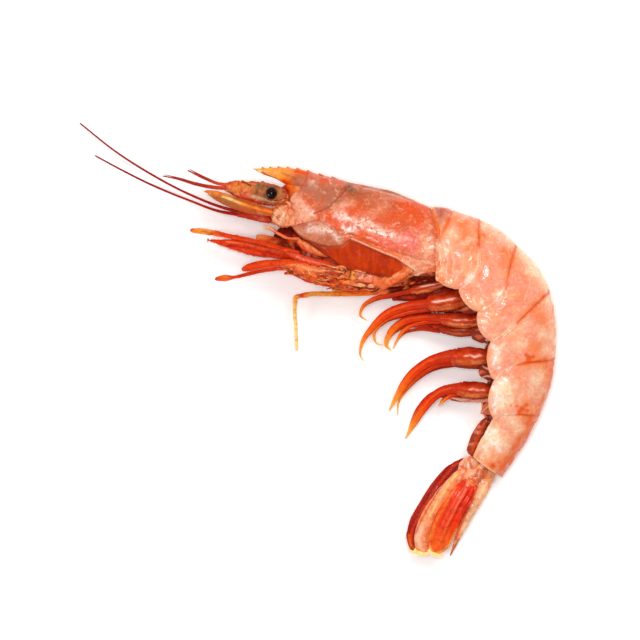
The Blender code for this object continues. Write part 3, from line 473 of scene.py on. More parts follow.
TAIL_STARS = [
    (528.5, 357.5, 3, 1.5), (533, 356.4, 1.8, 1.2), (525.6, 354.6, 1.8, 1.1), (527, 361, 1.8, 1.1),
    (522, 408.5, 3.2, 1.5), (526.5, 404.6, 2, 1.2), (518.6, 412, 2, 1.2), (527.4, 410.5, 1.8, 1),
    (516.5, 406, 1.6, 0.9), (493, 466, 3.2, 1.2), (499, 462, 2, 0.8), (477, 245, 2.2, 0.8),
    (476, 252, 1.8, 0.6), (543, 296, 2, 0.5), (533, 304, 2, 0.5),
]
TAIL_DARK = [
    (452.3, 209.6, 2, 0.9), (479, 238, 1.1, 0.6), (509.5, 266, 1, 0.6), (515.5, 246, 1.2, 0.3),
    (484, 234, 2.4, 0.2), (549, 290, 1.4, 0.4),
]
HUMP_DUSK = [
    (444, 209, 5, 1), (437, 210, 4.5, 1), (449, 213, 3.5, 0.8), (440, 217, 4.5, 0.9), (446, 221, 3, 0.4),
    (438, 224, 3, 0.5),
]
HUMP_DUSK_LOW, HUMP_DUSK_HIGH = 9.0, 13.0
HUMP_GROOVE = [(452.6, 209), (449.6, 218), (445.4, 227), (441.5, 234), (437, 241)]
SHELL_FIBRES = [
    [(441, 240), (444, 250), (447, 262), (446, 274)], [(437, 244), (440, 256), (441, 268), (439, 277)],
    [(446, 238), (450, 250), (453, 264), (452, 278)],
]
# How far each seam's rust line runs from the back, as a share of the way to the edge, and over what share
# it fades. Its half width is in mm.
SEAM_REACH = (0.0, 0.40, 0.50, 0.62, 0.60, 0.56)
SEAM_FADE = 0.16
SEAM_WIDTH = (0.8, 0.8, 0.8, 0.8, 0.55, 0.35)
# How strongly the orange along the back and its pale rim show on each segment, and how far down it runs.
# The pale rim is partly the shell's cream edge and partly painted rim light.
BACK_LINE_SHARE = (0.0, 0.0, 0.2, 0.7, 1.0, 1.0)
BACK_LINE_FROM = (0.25, 0.25, 0.25, 0.25, 0.34, 0.46)
BACK_LINE_FADE = 0.16
BACK_RIM_SHARE = (0.0, 0.6, 0.9, 0.6, 0.3, 0.0)
FLESH_PEACH = (0.885, 0.37, 0.195)
FLESH_PINK = (0.885, 0.33, 0.225)
FLESH_ORANGE = (0.90, 0.19, 0.045)
FLESH_ROSE = (0.90, 0.26, 0.18)
FLESH_CREAM = (0.95, 0.72, 0.47)
PAINTED_HIGHLIGHT_CREAM = (0.97, 0.86, 0.78)
SEAM_RUST = (0.76, 0.085, 0.004)
HUMP_MAUVE = (0.50, 0.10, 0.04)
# The underside's dark red: partly its own colour, partly painted shade under the body.
BELLY_RED = (0.30, 0.018, 0.006)
SPECK_BROWN = (0.26, 0.06, 0.025)

tail_paint = Paint("tail_shell_wet", 0.34, film=0.75, depth=0.16)
cloud = tail_paint.grain(6.0, 5.0, 0.65, warp=1.2)
middling = tail_paint.grain(2.4, 4.0, 0.62, warp=0.8)
fine = tail_paint.grain(0.9, 4.0, 0.68)
wrinkles = tail_paint.veins(3.0, 0.045, 1.6)
tail_paint.tone = tail_paint.mix(cloud.clip(0.42, 0.60), FLESH_PEACH, FLESH_PINK)
tail_paint.lay(tail_paint.mask("blush") * (0.35 + 1.0 * middling), FLESH_ORANGE)
tail_paint.lay(tail_paint.mask("rose") * (0.35 + 1.0 * middling), FLESH_ROSE)
tail_paint.lay(middling.clip(0.52, 0.70) * 0.50, FLESH_ORANGE)
tail_paint.lay(middling.clip(0.46, 0.32) * 0.40, FLESH_CREAM)
tail_paint.lay(tail_paint.mask("pale") * (0.3 + 1.1 * fine), FLESH_CREAM)
tail_paint.lay(wrinkles * 0.30, FLESH_ORANGE)
tail_paint.lay(fine.clip(0.54, 0.74) * 0.32, FLESH_CREAM)
tail_paint.lay(fine.clip(0.44, 0.28) * 0.50, FLESH_ORANGE)
# Painted highlight: the near-white spots above, broken into streaks.
highlight_streaks = tail_paint.grain(1.2, 3.0, 0.6, warp=1.2).clip(0.34, 0.54)
tail_paint.lay(tail_paint.mask("glint") * highlight_streaks, PAINTED_HIGHLIGHT_CREAM)
specks = tail_paint.grain(0.55, 1.0, 0.4).clip(0.70, 0.78) * tail_paint.grain(4.0).clip(0.42, 0.60)
tail_paint.lay(specks * 0.6, SPECK_BROWN)
tail_paint.lay(tail_paint.mask("dusk") * (0.4 + 1.0 * fine), HUMP_MAUVE)
tail_paint.lay(tail_paint.mask("belly"), BELLY_RED)
tail_paint.lay(tail_paint.mask("seam") * (0.45 + 0.9 * fine), SEAM_RUST)
tail_paint.lay(tail_paint.mask("dark"), SPECK_BROWN)
tail_paint.colour(tail_paint.tone)
tail_paint.wet(3.0, 0.1, tail_paint.mask("belly") * 0.85)
tail_paint.relief(middling + fine * 0.5 - wrinkles * 0.3, 0.18)

UNDER_STRIP = [(486, 421), (481, 431), (476, 443), (471.5, 455)]
FLAP_EDGE = [(494, 416), (487, 415.6), (480, 414)]


def tail_masks(grid, to_edge):
    """What the places on the tail give every piece of it."""
    x, y = wander(grid, 3.0, 3.0, 0.0)
    outside = ease(to_edge, 1.1, 0.95)
    return {
        "blush": spots(x, y, TAIL_BLUSH) * outside,
        "rose": spots(x, y, TAIL_ROSE) * outside,
        "pale": spots(x, y, TAIL_PALE),
        "glint": spots(x, y, TAIL_PAINTED_HIGHLIGHT) * outside,
        "dusk": spots(x, y, HUMP_DUSK) * ease(grid[..., 2], HUMP_DUSK_LOW * MM, HUMP_DUSK_HIGH * MM),
        "dark": spots(*pixels(grid), TAIL_DARK),
        "belly": ease(to_edge, 1.02, 1.12),
    }


END_STEPS = 0.7
THINNEST = 0.2


def limb(rows, steps=80, around=32, rough=0.03, joints=(), pinch=0.1, seed=0.0, blunt=0.02, sink=0.0):
    """Rings along a limb. Rows hold x and y in pixels, then height, breadth and thickness in mm, or one
    diameter for both. Each joint is a share of its length, where it is pinched. blunt is the share over
    which each end is rounded, and sink is how deep the root goes into the body, in mm."""
    rows = smooth(rows, steps, END_STEPS)
    middle = at(rows[:, 0], rows[:, 1], rows[:, 2])
    forward = np.gradient(middle, axis=0)
    forward /= np.linalg.norm(forward, axis=1)[:, None]
    across = np.cross([0.0, 0.0, 1.0], forward)
    across /= np.linalg.norm(across, axis=1)[:, None]
    over = np.cross(forward, across)
    reach = share_along(middle)
    middle[:, 2] -= sink * MM * ease(reach, 0.16, 0.0)
    end = np.clip(np.minimum(reach, 1 - reach) / blunt, 0.0, 1.0)
    waist = np.sqrt(np.maximum(1 - (1 - end) ** 2, 0.02))
    for joint in joints:
        waist -= pinch * hump(reach, 0.012, joint)
        waist += pinch * 0.7 * hump(reach - joint + 0.035, 0.02)
    angle = math.tau * (np.arange(around) + 0.5) / around
    wide = (np.maximum(rows[:, 3], THINNEST) / 2 * waist)[:, None, None] * np.cos(angle)[:, None]
    thick = (np.maximum(rows[:, -1], THINNEST) / 2 * waist)[:, None, None] * np.sin(angle)[:, None]
    grid = middle[:, None] + (across[:, None] * wide + over[:, None] * thick) * MM
    size = np.maximum(rows[:, -1], THINNEST)[:, None]
    height = rough * (size * lumps(grid, 2.2, seed) + np.minimum(size, 1.0) * lumps(grid, 0.7, seed))
    return raised(grid, height)


def share_along(middle):
    """Each point's share of the way along a line of points."""
    reach = np.concatenate([[0.0], np.cumsum(np.linalg.norm(np.diff(middle, axis=0), axis=-1))])
    return reach / reach[-1]


# Below the left plates the belly shows: dark red flaps of the right plates, partly painted shade, and small
# pale
# spikes at their corners. By segment: x and y in pixels, height, breadth and thickness in mm.
UNDER_FLAPS = {
    1: [(488, 302, 9, 3, 2), (474, 306.5, 9.2, 4.8, 2.2), (461, 311, 9, 3, 1.6)],
    2: [(498, 331, 8.8, 4, 2.4), (483, 333.5, 8.8, 6, 2.4), (471, 333, 8.2, 3.6, 1.6)],
    3: [(502, 370, 8, 4, 2.2), (488, 371.5, 8, 5.2, 2.2), (478.5, 371.5, 7.6, 2.4, 1.4)],
    4: [(502, 408, 7, 4.6, 2), (489, 409, 6.8, 4.2, 1.6), (480.5, 413.6, 6.4, 0.5, 0.4)],
    5: [(489, 418, 5, 2.2, 1.2), (480.5, 430, 4.8, 3.2, 1.6), (474.5, 443, 4.5, 3.4, 1.6),
        (470.5, 455, 4.2, 2.6, 1.4)],
}
UNDER_SPIKES = {
    2: [[(489, 340, 9.4, 1.4), (481, 337.5, 9.3, 0.8), (475.5, 333.6, 9.2, 0.2)]],
    3: [[(491, 369, 9, 1.2), (486, 368, 9, 0.7), (481.5, 364.8, 8.9, 0.2)],
        [(493, 376.5, 8.6, 1.2), (487, 376, 8.6, 0.8), (480, 378.6, 8.5, 0.2)]],
    4: [[(494, 401, 7.8, 0.8), (487, 408, 7.6, 0.6), (480.8, 413.6, 7.4, 0.2)]],
}

for segment in range(len(TAIL_JOINTS) - 1):
    shares = np.linspace(TUCK if segment else FIRST_TUCK, OVERHANG, SEGMENT_ROWS)
    rings = [tail_ring(segment, share) for share in shares]
    grid = np.array([ring for ring, _ in rings])
    to_edge = np.array([share for _, share in rings])
    length = np.linalg.norm(np.diff(grid, axis=0), axis=-1).sum(axis=0)[None, :] / MM
    along = shares[:, None]
    low = ease(to_edge, 0.62, 0.80)
    bead = 0.16 * hump(to_edge, 0.035, 0.97) - 0.20 * hump(to_edge, 0.06, 0.86)
    shallow = -0.12 * hump(along, 0.045, 0.20) * ease(to_edge, 0.9, 0.6)
    rough = 0.18 * lumps(grid, 5.2, segment) + 0.09 * lumps(grid, 2.2, segment) + 0.04 * lumps(grid, 0.9)
    rough += low * (0.12 * lumps(grid, 1.5, segment + 8) + 0.06 * lumps(grid, 0.7, segment + 9))
    x, y = pixels(grid)
    if segment == 0:
        rough -= 0.30 * stroke(x, y, HUMP_GROOVE, 1.4, 1.0, 0.3)
        rough += sum(0.16 * stroke(x, y, fibre, 1.0) for fibre in SHELL_FIBRES)
    inside = ease(to_edge, 1.25, 1.0)
    grid += outward(grid) * ((bead + shallow + rough) * inside)[..., None] * MM
    curl = grid[-1] + (grid[-1].mean(axis=0) - grid[-1]) * 0.05
    grid = on_table(np.concatenate([grid, curl[None]]))
    to_edge = np.concatenate([to_edge, to_edge[-1:]])
    along = np.concatenate([along, along[-1:]])
    x, y = pixels(grid)
    reach = SEAM_REACH[segment]
    upper = ease(to_edge, reach + SEAM_FADE / 2, reach - SEAM_FADE / 2)
    past_lip = np.maximum(along - (OVERHANG - 1), 0.0) * length + 0.25 * lumps(grid, 1.6, 3.0)
    behind = hump(past_lip, SEAM_WIDTH[segment]) * upper
    glow = hump(past_lip, 2.2) * upper
    lip_reach = SEAM_REACH[segment + 1] if segment + 1 < len(SEAM_REACH) else 0.0
    before_lip = (OVERHANG - along) * length
    above = ease(to_edge, lip_reach + 0.05, lip_reach - 0.1)
    at_lip = hump(before_lip, 0.45)
    pale_lip = at_lip * ease(to_edge, lip_reach, lip_reach + 0.15) * ease(to_edge, 1.02, 0.98)
    # The pale rim along the back: cream shell edge, partly painted rim light.
    back_rim = ease(to_edge, 0.26, 0.10) * BACK_RIM_SHARE[segment]
    seam = behind + 0.9 * at_lip * above + spots(x, y, TAIL_STARS)
    glow = glow + hump(before_lip, 1.6) * above
    masks = tail_masks(grid, to_edge)
    if segment == 0:
        seam = np.maximum(seam - behind, stroke(x, y, HUMP_GROOVE, 1.1, 1.0, 0.5))
        glow = glow + stroke(x, y, HUMP_GROOVE, 3.0, 1.0, 0.6)
        near = wander(grid, 1.2, 1.2, 9.0)
        masks["pale"] = masks["pale"] + sum(0.3 * stroke(*near, fibre, 1.2) for fibre in SHELL_FIBRES)
        seam = seam + sum(0.3 * stroke(near[0] + 1.6, near[1], fibre, 0.6) for fibre in SHELL_FIBRES)
    if segment == 5:
        seam = seam + stroke(x, y, UNDER_STRIP, 1.6) * ease(to_edge, 1.0, 1.04)
    masks["seam"] = np.clip(seam, 0, 1)
    back_from = BACK_LINE_FROM[segment]
    back_edge = ease(to_edge + 0.05 * lumps(grid, 1.5, 21.0), back_from, back_from - BACK_LINE_FADE)
    back_edge *= BACK_LINE_SHARE[segment]
    masks["blush"] = np.clip(masks["blush"] + (0.9 * glow + back_edge) * ease(to_edge, 1.1, 0.95), 0, 1)
    masks["seam"] = np.clip(masks["seam"] + 0.6 * back_edge**2, 0, 1)
    masks["pale"] = np.clip(masks["pale"] + back_rim + 0.9 * pale_lip, 0, 1)
    parts = [(grid, masks)]
    if segment in UNDER_FLAPS:
        flap = limb(UNDER_FLAPS[segment], 60, 36, 0.10, seed=segment, blunt=0.1)
        x, y = pixels(flap)
        folds = ease(lumps(flap * [0.5, 1.5, 1.0], 1.6, segment + 5), 0.05, 0.4)
        masks = {"belly": 0.95 - 0.5 * folds, "seam": 0.6 * folds}
        if segment == 4:
            pale = 0.4 * stroke(x, y, FLAP_EDGE, 1.0)
            masks = {"belly": 0.35 + 0.3 * folds, "seam": 0.55, "pale": pale}
        if segment == 5:
            masks["seam"] = np.clip(masks["seam"] * 0.5 + stroke(x, y, UNDER_STRIP, 1.5), 0, 1)
        parts.append((flap, masks))
    for rows in UNDER_SPIKES.get(segment, []):
        spike = limb(rows, 24, 10, 0.05, seed=segment)
        parts.append((spike, {"pale": 0.55, "blush": 0.7, "seam": 0.15}))
    skin(f"tail_plate_{segment + 1}", parts, tail_paint, f"abdomen_{segment + 1}")

# ---------------------------------------------------------------- head shell
# One stiff shell over head and chest, salmon with mauve clouds, crossed by a slanting groove. Its lower edge
# ends in a ridge, below which the dark gills show through a thin wet side panel.

HEAD_MIDDLE = 9.4
HEAD_SHELL_ROWS = [
    (290.5, 181.5, 289, 221, 3.4), (303, 172, 298, 233.5, 5.6), (320, 174.8, 312, 243.5, 7.4),
    (335, 178.5, 328, 256, 8.6), (352, 182.8, 346, 268.6, 9.4), (372, 186.8, 368, 274.4, 9.8),
    (392, 191.6, 388, 276.8, 9.9), (410, 198.2, 408, 275.4, 9.9), (423, 203.6, 424, 272.6, 9.7),
    (431.6, 207.8, 436.4, 271, 9.5),
]
HEAD_SHELL_STATIONS = 200
BELLY_UP_FRONT, BELLY_UP = 1.6, 5.0
BELLY_EASE = 0.25
RIM_CURL = (0.012, 0.035)
MEMBRANE_SKIP = 8
MEMBRANE_THICKNESS = 0.8
ORBIT_DEPTH = 9.5
# Lines on the shell, in pixels.
NECK_GROOVE = [(349, 187), (343, 193), (337, 200), (330, 206), (322, 211), (314, 214)]
CHEEK_LINE = [
    (290, 226), (296, 226), (304, 223), (311, 221.5), (319, 220.5), (326, 225), (333, 230), (342, 233.5),
]
LOBE_EDGE = [
    (289, 227), (291, 228.3), (300, 235.4), (315.6, 243.6), (328.9, 246.6), (339, 246.1), (346, 242.4),
    (351, 238),
]
SHELL_RIDGE = [
    (348, 235), (355, 237.6), (362.5, 240.5), (376.8, 246.6), (392, 252.2), (407.4, 256.8), (428, 262),
]
SHELL_HEM = [
    (351, 239), (358, 241.6), (366.6, 245.6), (383, 252.8), (396, 257.9), (407.4, 265.5), (415.6, 271),
]
UPPER_RIDGE = [
    (306, 206), (312, 212), (318, 217), (332, 214), (345, 217), (356, 223), (366, 229), (380, 234),
    (396, 238),
]
DUSK_FOLD = [(358, 214), (362, 207), (370, 202), (382, 201), (396, 203), (410, 204)]
BACK_LINE = [(360, 185.2), (372, 187.6), (382, 189.9), (392, 192.4), (402, 196), (411, 199.4)]
BACK_LINE_LOW, BACK_LINE_HIGH = (0.6, 2.4), (5.4, 3.4)
REAR_LINE = [(430.8, 208), (432.6, 215), (434.4, 224), (436.4, 233), (437, 240)]
REAR_BAND = [(433.4, 208), (435.6, 217), (437.6, 226), (438.4, 235)]
REAR_BULGE = 4.2
HEM_BAND = [(353, 237.6), (364, 242), (380, 248.6), (394, 254.4), (404, 259)]
HEM_SHREDS = [(386, 252.4), (396, 255.6), (405, 260.5), (413, 266), (419, 271)]
REAR_SHREDS = [(404, 257), (412, 259), (421, 262), (428, 260), (432, 266), (426, 269), (418, 266), (414, 270)]
CHEEK_RIM = [(297, 191), (304, 194), (309, 201), (312, 208), (315, 214)]
GILL_PANEL = [
    (312, 250), (322, 250), (332, 249.5), (341, 248.5), (350, 241), (366.6, 246.5), (383, 253.5),
    (396, 259), (402, 264), (403, 274), (392, 284), (350, 284), (326, 270),
]
LOBE = [
    (291, 228), (302, 224), (312, 222), (320, 222), (330, 229), (345, 236), (340, 246), (329, 246.5),
    (315.6, 243.6), (300, 235.4),
]
HEAD_MAUVE = [
    (318, 186, 9, 1), (336, 202, 7, 0.7), (330, 194, 8, 0.8), (345, 198, 6, 0.5), (306, 188, 6, 0.9),
    (336, 184, 7, 0.8), (326, 206, 6, 0.7), (316, 198, 6, 0.7), (320, 210, 4, 0.5), (350, 204, 5, 0.4),
]
HEAD_ORANGE = [
    (410, 212, 10, 1), (395, 222, 10, 0.5), (424, 212, 8, 0.6), (358, 210, 6, 0.5), (330, 219, 4, 1),
    (337, 223, 4, 1), (343, 227, 4, 1), (326, 216, 3, 0.9), (404, 202, 7, 0.35), (346, 209, 4, 0.7),
    (326, 176, 8, 0.8), (342, 180, 7, 0.7), (362, 236, 6, 0.8), (350, 212, 5, 0.5), (420, 226, 7, 0.45),
    (312, 204, 3, 0.6), (372, 241, 6, 0.7), (384, 246, 6, 0.6), (396, 250, 6, 0.6), (345, 236, 4, 0.7),
]
HEAD_DUSK = [
    (368, 196, 10, 1), (384, 199, 9, 0.9), (355, 196, 7, 0.9), (397, 196, 6, 0.6), (346, 190, 6, 0.9),
    (338, 190, 5, 0.6), (372, 206, 5, 0.5), (390, 206, 4, 0.4),
]
HEAD_PALE = [
    (295, 199, 4, 1), (299, 207, 6, 1), (301, 216, 7, 1), (308, 221, 5, 0.8), (425, 238, 7, 0.8),
    (427, 250, 8, 1), (424, 262, 7, 0.8), (344, 206, 5, 0.7), (312, 217, 4, 0.7), (434, 246, 4, 0.7),
    (416, 268, 6, 0.7), (352, 204, 4, 0.6), (378, 208, 6, 0.35), (430, 226, 4, 0.6), (410, 258, 5, 0.5),
    (372, 214, 5, 0.3), (336, 208, 4, 0.5), (386, 204, 4, 0.4),
]
HEAD_ROSE = [
    (412, 245, 6, 1), (407, 237, 7, 0.8), (382, 240, 9, 0.5), (395, 246, 7, 0.6), (420, 232, 6, 0.5),
    (340, 218, 6, 0.6), (352, 226, 6, 0.5), (366, 222, 7, 0.4), (412, 250, 4, 0.9), (400, 240, 5, 0.6),
]
# Painted highlights: pale spots where the wet shell would mirror the light.
HEAD_PAINTED_HIGHLIGHT = [
    (335, 214.5, 3.6, 0.9), (342, 217, 4, 1), (350, 220, 3.4, 0.7), (348, 231, 3.8, 1), (354, 229, 3.8, 1),
    (361, 225.6, 3.6, 1), (366, 221.4, 4.2, 1), (372, 226, 3.6, 0.9), (377, 231, 4.4, 1),
    (384, 234.4, 4.6, 1), (345, 218.4, 4, 0.9), (357, 222, 3.6, 0.7), (391, 236, 4.4, 0.9),
    (399, 238, 3.4, 0.5), (406, 240, 3, 0.4), (306, 210, 3.2, 0.7), (311, 214, 3, 0.8), (312, 183, 5, 0.35),
    (344, 206, 4, 0.3), (322, 228, 6, 0.5), (331, 231, 5, 0.5), (312, 227, 4, 0.4), (336, 238, 4, 0.3),
    (300, 203, 4, 0.3),
]
HEAD_BRUSHED = [
    (349, 187, 4.5, 1), (342, 190, 4, 0.5), (354, 191, 5, 0.8), (361, 193, 4, 0.5), (377, 234, 1.3, 1),
    (404, 231, 1, 0.8), (385, 232, 0.8, 0.8), (369, 193, 4, 0.3),
]
HEAD_SALMON = (0.74, 0.15, 0.058)
HEAD_DEEP = (0.66, 0.09, 0.025)
HEAD_DUSK_TINT = (0.52, 0.11, 0.035)
HEAD_MAUVE_TINT = (0.40, 0.145, 0.085)
HEAD_ORANGE_TINT = (0.78, 0.078, 0.008)
HEAD_PEACH = (0.90, 0.42, 0.25)
LOBE_TAN = (0.58, 0.185, 0.092)
LOBE_SHADE = (0.44, 0.10, 0.042)
LOBE_PAINTED_HIGHLIGHT = [(304, 230), (314, 228.6), (324, 230), (333, 234), (340, 239)]
REAR_ORANGE = (0.92, 0.15, 0.015)
HEAD_ROSE_TINT = (0.88, 0.18, 0.15)
HEAD_HIGHLIGHT_TINT = (0.96, 0.69, 0.57)
GILL_BROWN = (0.44, 0.026, 0.001)
GILL_ORANGE = (0.60, 0.048, 0.001)
OLIVE_BROWN = (0.22, 0.07, 0.025)
GROOVE_RED = (0.30, 0.04, 0.012)
HEM_WHITE = (0.92, 0.62, 0.48)


def inside_of(x, y, outline, soft):
    """1 inside an outline of pixels and 0 outside it, over a soft edge."""
    ring = np.asarray([*outline, outline[0]], float)
    odd = np.zeros(np.shape(x), bool)
    for (x0, y0), (x1, y1) in zip(ring, ring[1:]):
        crosses = (y0 > y) != (y1 > y)
        odd ^= crosses & (x < (x1 - x0) * (y - y0) / (y1 - y0 + 1e-12) + x0)
    away, _ = line_distance(x, y, ring)
    return ease(np.where(odd, away, -away), -soft, soft)


head_paint = Paint("head_shell_wet", 0.32, film=0.8, depth=0.12)
cloud = head_paint.grain(7.0, 5.0, 0.65, warp=1.2)
middling = head_paint.grain(2.6, 4.0, 0.64, warp=1.0)
fine = head_paint.grain(0.9, 4.0, 0.68)
wrinkles = head_paint.veins(3.4, 0.05, 1.8)
head_paint.tone = head_paint.mix(cloud.clip(0.40, 0.60), HEAD_SALMON, HEAD_DEEP)
head_paint.lay(head_paint.mask("dusk") * (0.4 + 0.9 * middling), HEAD_DUSK_TINT)
head_paint.lay(head_paint.mask("mauve") * (0.5 + 0.8 * middling), HEAD_MAUVE_TINT)
head_paint.lay(head_paint.mask("orange") * (0.45 + 0.9 * middling), HEAD_ORANGE_TINT)
head_paint.lay(head_paint.mask("rose") * (0.4 + 0.9 * fine), HEAD_ROSE_TINT)
head_paint.lay(head_paint.mask("pale") * (0.5 + 0.7 * fine), HEAD_PEACH)
head_paint.lay(middling.clip(0.54, 0.68) * 0.55, HEAD_DEEP)
head_paint.lay(middling.clip(0.46, 0.32) * 0.55, HEAD_PEACH)
head_paint.lay(wrinkles * 0.40, HEAD_DEEP)
flecks = fine.clip(0.53, 0.72) * (1 - head_paint.mask("mauve") * 0.6)
head_paint.lay(flecks * (1 - head_paint.mask("orange") * 0.6) * 0.6, HEAD_PEACH)
head_paint.lay(fine.clip(0.45, 0.30) * 0.50, HEAD_DUSK_TINT)
head_paint.lay(head_paint.mask("lobe") * (0.6 + 0.5 * middling), LOBE_TAN)
head_paint.lay(head_paint.mask("lobe") * cloud.clip(0.48, 0.62) * 0.6, LOBE_SHADE)
head_paint.lay(head_paint.mask("lobe") * fine.clip(0.56, 0.72) * 0.5, HEAD_PEACH)
head_paint.lay(head_paint.mask("band") * (0.5 + 0.8 * fine), REAR_ORANGE)
# Painted highlight: pale patches on the shell and along the lobe.
head_highlight_patches = head_paint.mask("glint") * head_paint.grain(1.9, 4.0, 0.62, warp=1.6).clip(0.34, 0.56)
head_paint.lay(head_highlight_patches, HEAD_HIGHLIGHT_TINT)
specks = head_paint.grain(0.6, 1.0, 0.4).clip(0.70, 0.78)
head_paint.lay(specks * 0.5, GROOVE_RED)
gill_rows = head_paint.grain(2.0, 3.0, 0.55, where=head_paint.stretched(1.0, 0.16, 1.0))
gills = head_paint.mix(gill_rows.clip(0.36, 0.66) * 0.8, GILL_BROWN, GILL_ORANGE)
gills = head_paint.mix(fine.clip(0.56, 0.80) * 0.25, gills, HEAD_DEEP)
head_paint.lay(head_paint.mask("gill"), gills)
head_paint.lay(head_paint.mask("brown") * (0.5 + 0.6 * fine), OLIVE_BROWN)
head_paint.lay(head_paint.mask("groove") * (0.4 + 0.8 * fine), GROOVE_RED)
head_paint.lay(head_paint.mask("hem") * (0.3 + 0.9 * fine), HEM_WHITE)
head_paint.lay(head_paint.mask("belly"), BELLY_RED)
head_paint.colour(head_paint.tone)
dull = head_paint.mask("gill") * 0.8 + head_paint.mask("mauve") * 0.6 + head_paint.mask("orange") * 0.3
dull = dull + head_paint.mask("pale") * 0.35
head_paint.wet(4.0, 0.15, dull.clip(0.0, 1.0))
head_paint.relief(middling + fine * 0.4 - wrinkles * 0.3, 0.20)


def belly_height(share):
    """How far the belly lies above the shell's lower edge at this share of the head's length, in mm."""
    return BELLY_UP_FRONT + (BELLY_UP - BELLY_UP_FRONT) * min(1.0, share / BELLY_EASE)


rings = []
for i, (*ends, half_width) in enumerate(smooth(HEAD_SHELL_ROWS, HEAD_SHELL_STATIONS)):
    belly_up = belly_height(i / (HEAD_SHELL_STATIONS - 1))
    rings.append(section(ends[:2], ends[2:], half_width, 0.0, HEAD_MIDDLE, belly_up))
ring, shares = rings[-1]
rings += [(ring + (ring.mean(axis=0) - ring) * curl, shares) for curl in RIM_CURL]
grid = np.array([ring for ring, _ in rings])
to_edge = np.array([share for _, share in rings])
x, y = pixels(grid)
orbit = ORBIT_DEPTH * ease(y, 201, 185) * ease(x, 318, 290)
from_rear = np.linspace(1.0, 0.0, len(grid))[:, None]
bulge = REAR_BULGE * hump(y, 13, 231) * ease(from_rear, 0.14, 0.0) * ease(to_edge, 1.05, 0.98)
grid[..., 0] += (orbit + bulge) * PIXEL
x, y = pixels(grid)
ridge_y = np.interp(x, *np.array(SHELL_HEM).T)
lobe_y = np.interp(x, *np.array(LOBE_EDGE).T)
border_y = np.where(x < LOBE_EDGE[-1][0], lobe_y, ridge_y)
below = ease(y - border_y, -0.4, 2.2) * ease(x, 300, 312) * ease(x, 424, 408)
lobe = inside_of(x, y, LOBE, 2.5)
panel = inside_of(x, y, GILL_PANEL, 1.6)
upper_face = ease(to_edge, 1.05, 0.98)
height = -1.05 * below
height += 0.42 * lobe - 0.28 * stroke(x, y, CHEEK_LINE, 1.6) - 0.42 * stroke(x, y, NECK_GROOVE, 1.7, 1.0, 0.4)
height += 0.30 * stroke(x, y, UPPER_RIDGE, 5.0, 0.3, 1.0) + 0.32 * stroke(x, y, SHELL_HEM, 1.5)
height -= 0.20 * stroke(x, y, SHELL_RIDGE, 1.6) + 0.22 * stroke(x, y, REAR_LINE, 1.2, 1.0, 0.3)
height += 0.15 * stroke(x, y, HEM_SHREDS, 1.6) - 0.15 * stroke(x, y, CHEEK_RIM, 1.4)
height += 0.20 * lumps(grid, 6.5, 3.0) + 0.14 * lumps(grid, 2.6, 5.0) + 0.06 * lumps(grid, 1.1, 9.0)
height += 0.22 * stroke(x, y, DUSK_FOLD, 2.4) - 0.25 * stroke(x, y, [(a, b + 3.5) for a, b in DUSK_FOLD], 2.4)
height += 0.10 * panel * lumps(grid * [1.0, 0.3, 1.0], 1.3, 4.0)
grid = raised(grid, height * upper_face)
near = wander(grid, 3.0, 3.0, 30)
jagged = wander(grid, 1.6, 0.9, 70)
above_middle = grid[..., 2] / MM - HEAD_MIDDLE
back_height = ease(above_middle, *BACK_LINE_LOW) * ease(above_middle, *BACK_LINE_HIGH)
back_height *= ease(x, 358, 370) * ease(x, 413, 402)
masks = {
    "mauve": spots(*near, HEAD_MAUVE),
    "orange": spots(*near, HEAD_ORANGE),
    "band": np.clip(
        1.3 * stroke(x, y, REAR_BAND, 2.0, 1.0, 0.8) + 0.9 * stroke(x, y, HEM_BAND, 2.0, 1.0, 0.7), 0, 1),
    "dusk": spots(*near, HEAD_DUSK) * ease(above_middle, -1.0, 2.5),
    "pale": np.clip(
        spots(*near, HEAD_PALE) + 0.9 * stroke(x, y - 2.2, BACK_LINE, 1.0, 0.5, 1.0) * back_height
        + 0.9 * stroke(*near, HEM_SHREDS, 2.0, 0.6, 1.0)
        + 0.7 * stroke(*jagged, REAR_SHREDS, 1.1, 0.6, 0.8), 0, 1),
    "lobe": lobe,
    "rose": spots(*near, HEAD_ROSE),
    "glint": np.clip(spots(*near, HEAD_PAINTED_HIGHLIGHT) + 0.5 * stroke(*near, LOBE_PAINTED_HIGHLIGHT, 2.4, 0.6, 1.0), 0, 1),
    "brown": np.clip(
        spots(*near, HEAD_BRUSHED) + 1.1 * stroke(x, y - 0.6, BACK_LINE, 1.1, 0.7, 1.0) * back_height, 0, 1),
    "gill": np.clip(panel + below * ease(x, 345, 300) + ease(to_edge, 1.02, 1.12) * ease(x, 352, 344), 0, 1),
    "groove": np.clip(
        1.3 * stroke(*jagged, NECK_GROOVE, 0.75, 1.0, 0.8) + 0.7 * stroke(*jagged, CHEEK_LINE, 0.75, 1.0, 0.5)
        + 0.8 * stroke(*near, SHELL_RIDGE, 1.2, 1.0, 0.2) + 0.6 * stroke(*jagged, LOBE_EDGE, 0.8)
        + 0.25 * stroke(*jagged, CHEEK_RIM, 1.0) + 0.9 * stroke(x, y, REAR_LINE, 0.9, 1.0, 0.3), 0, 1),
    "hem": 0.9 * stroke(x, y, SHELL_HEM, 0.8),
    "belly": ease(to_edge, 1.02, 1.12) * ease(x, 344, 352),
}

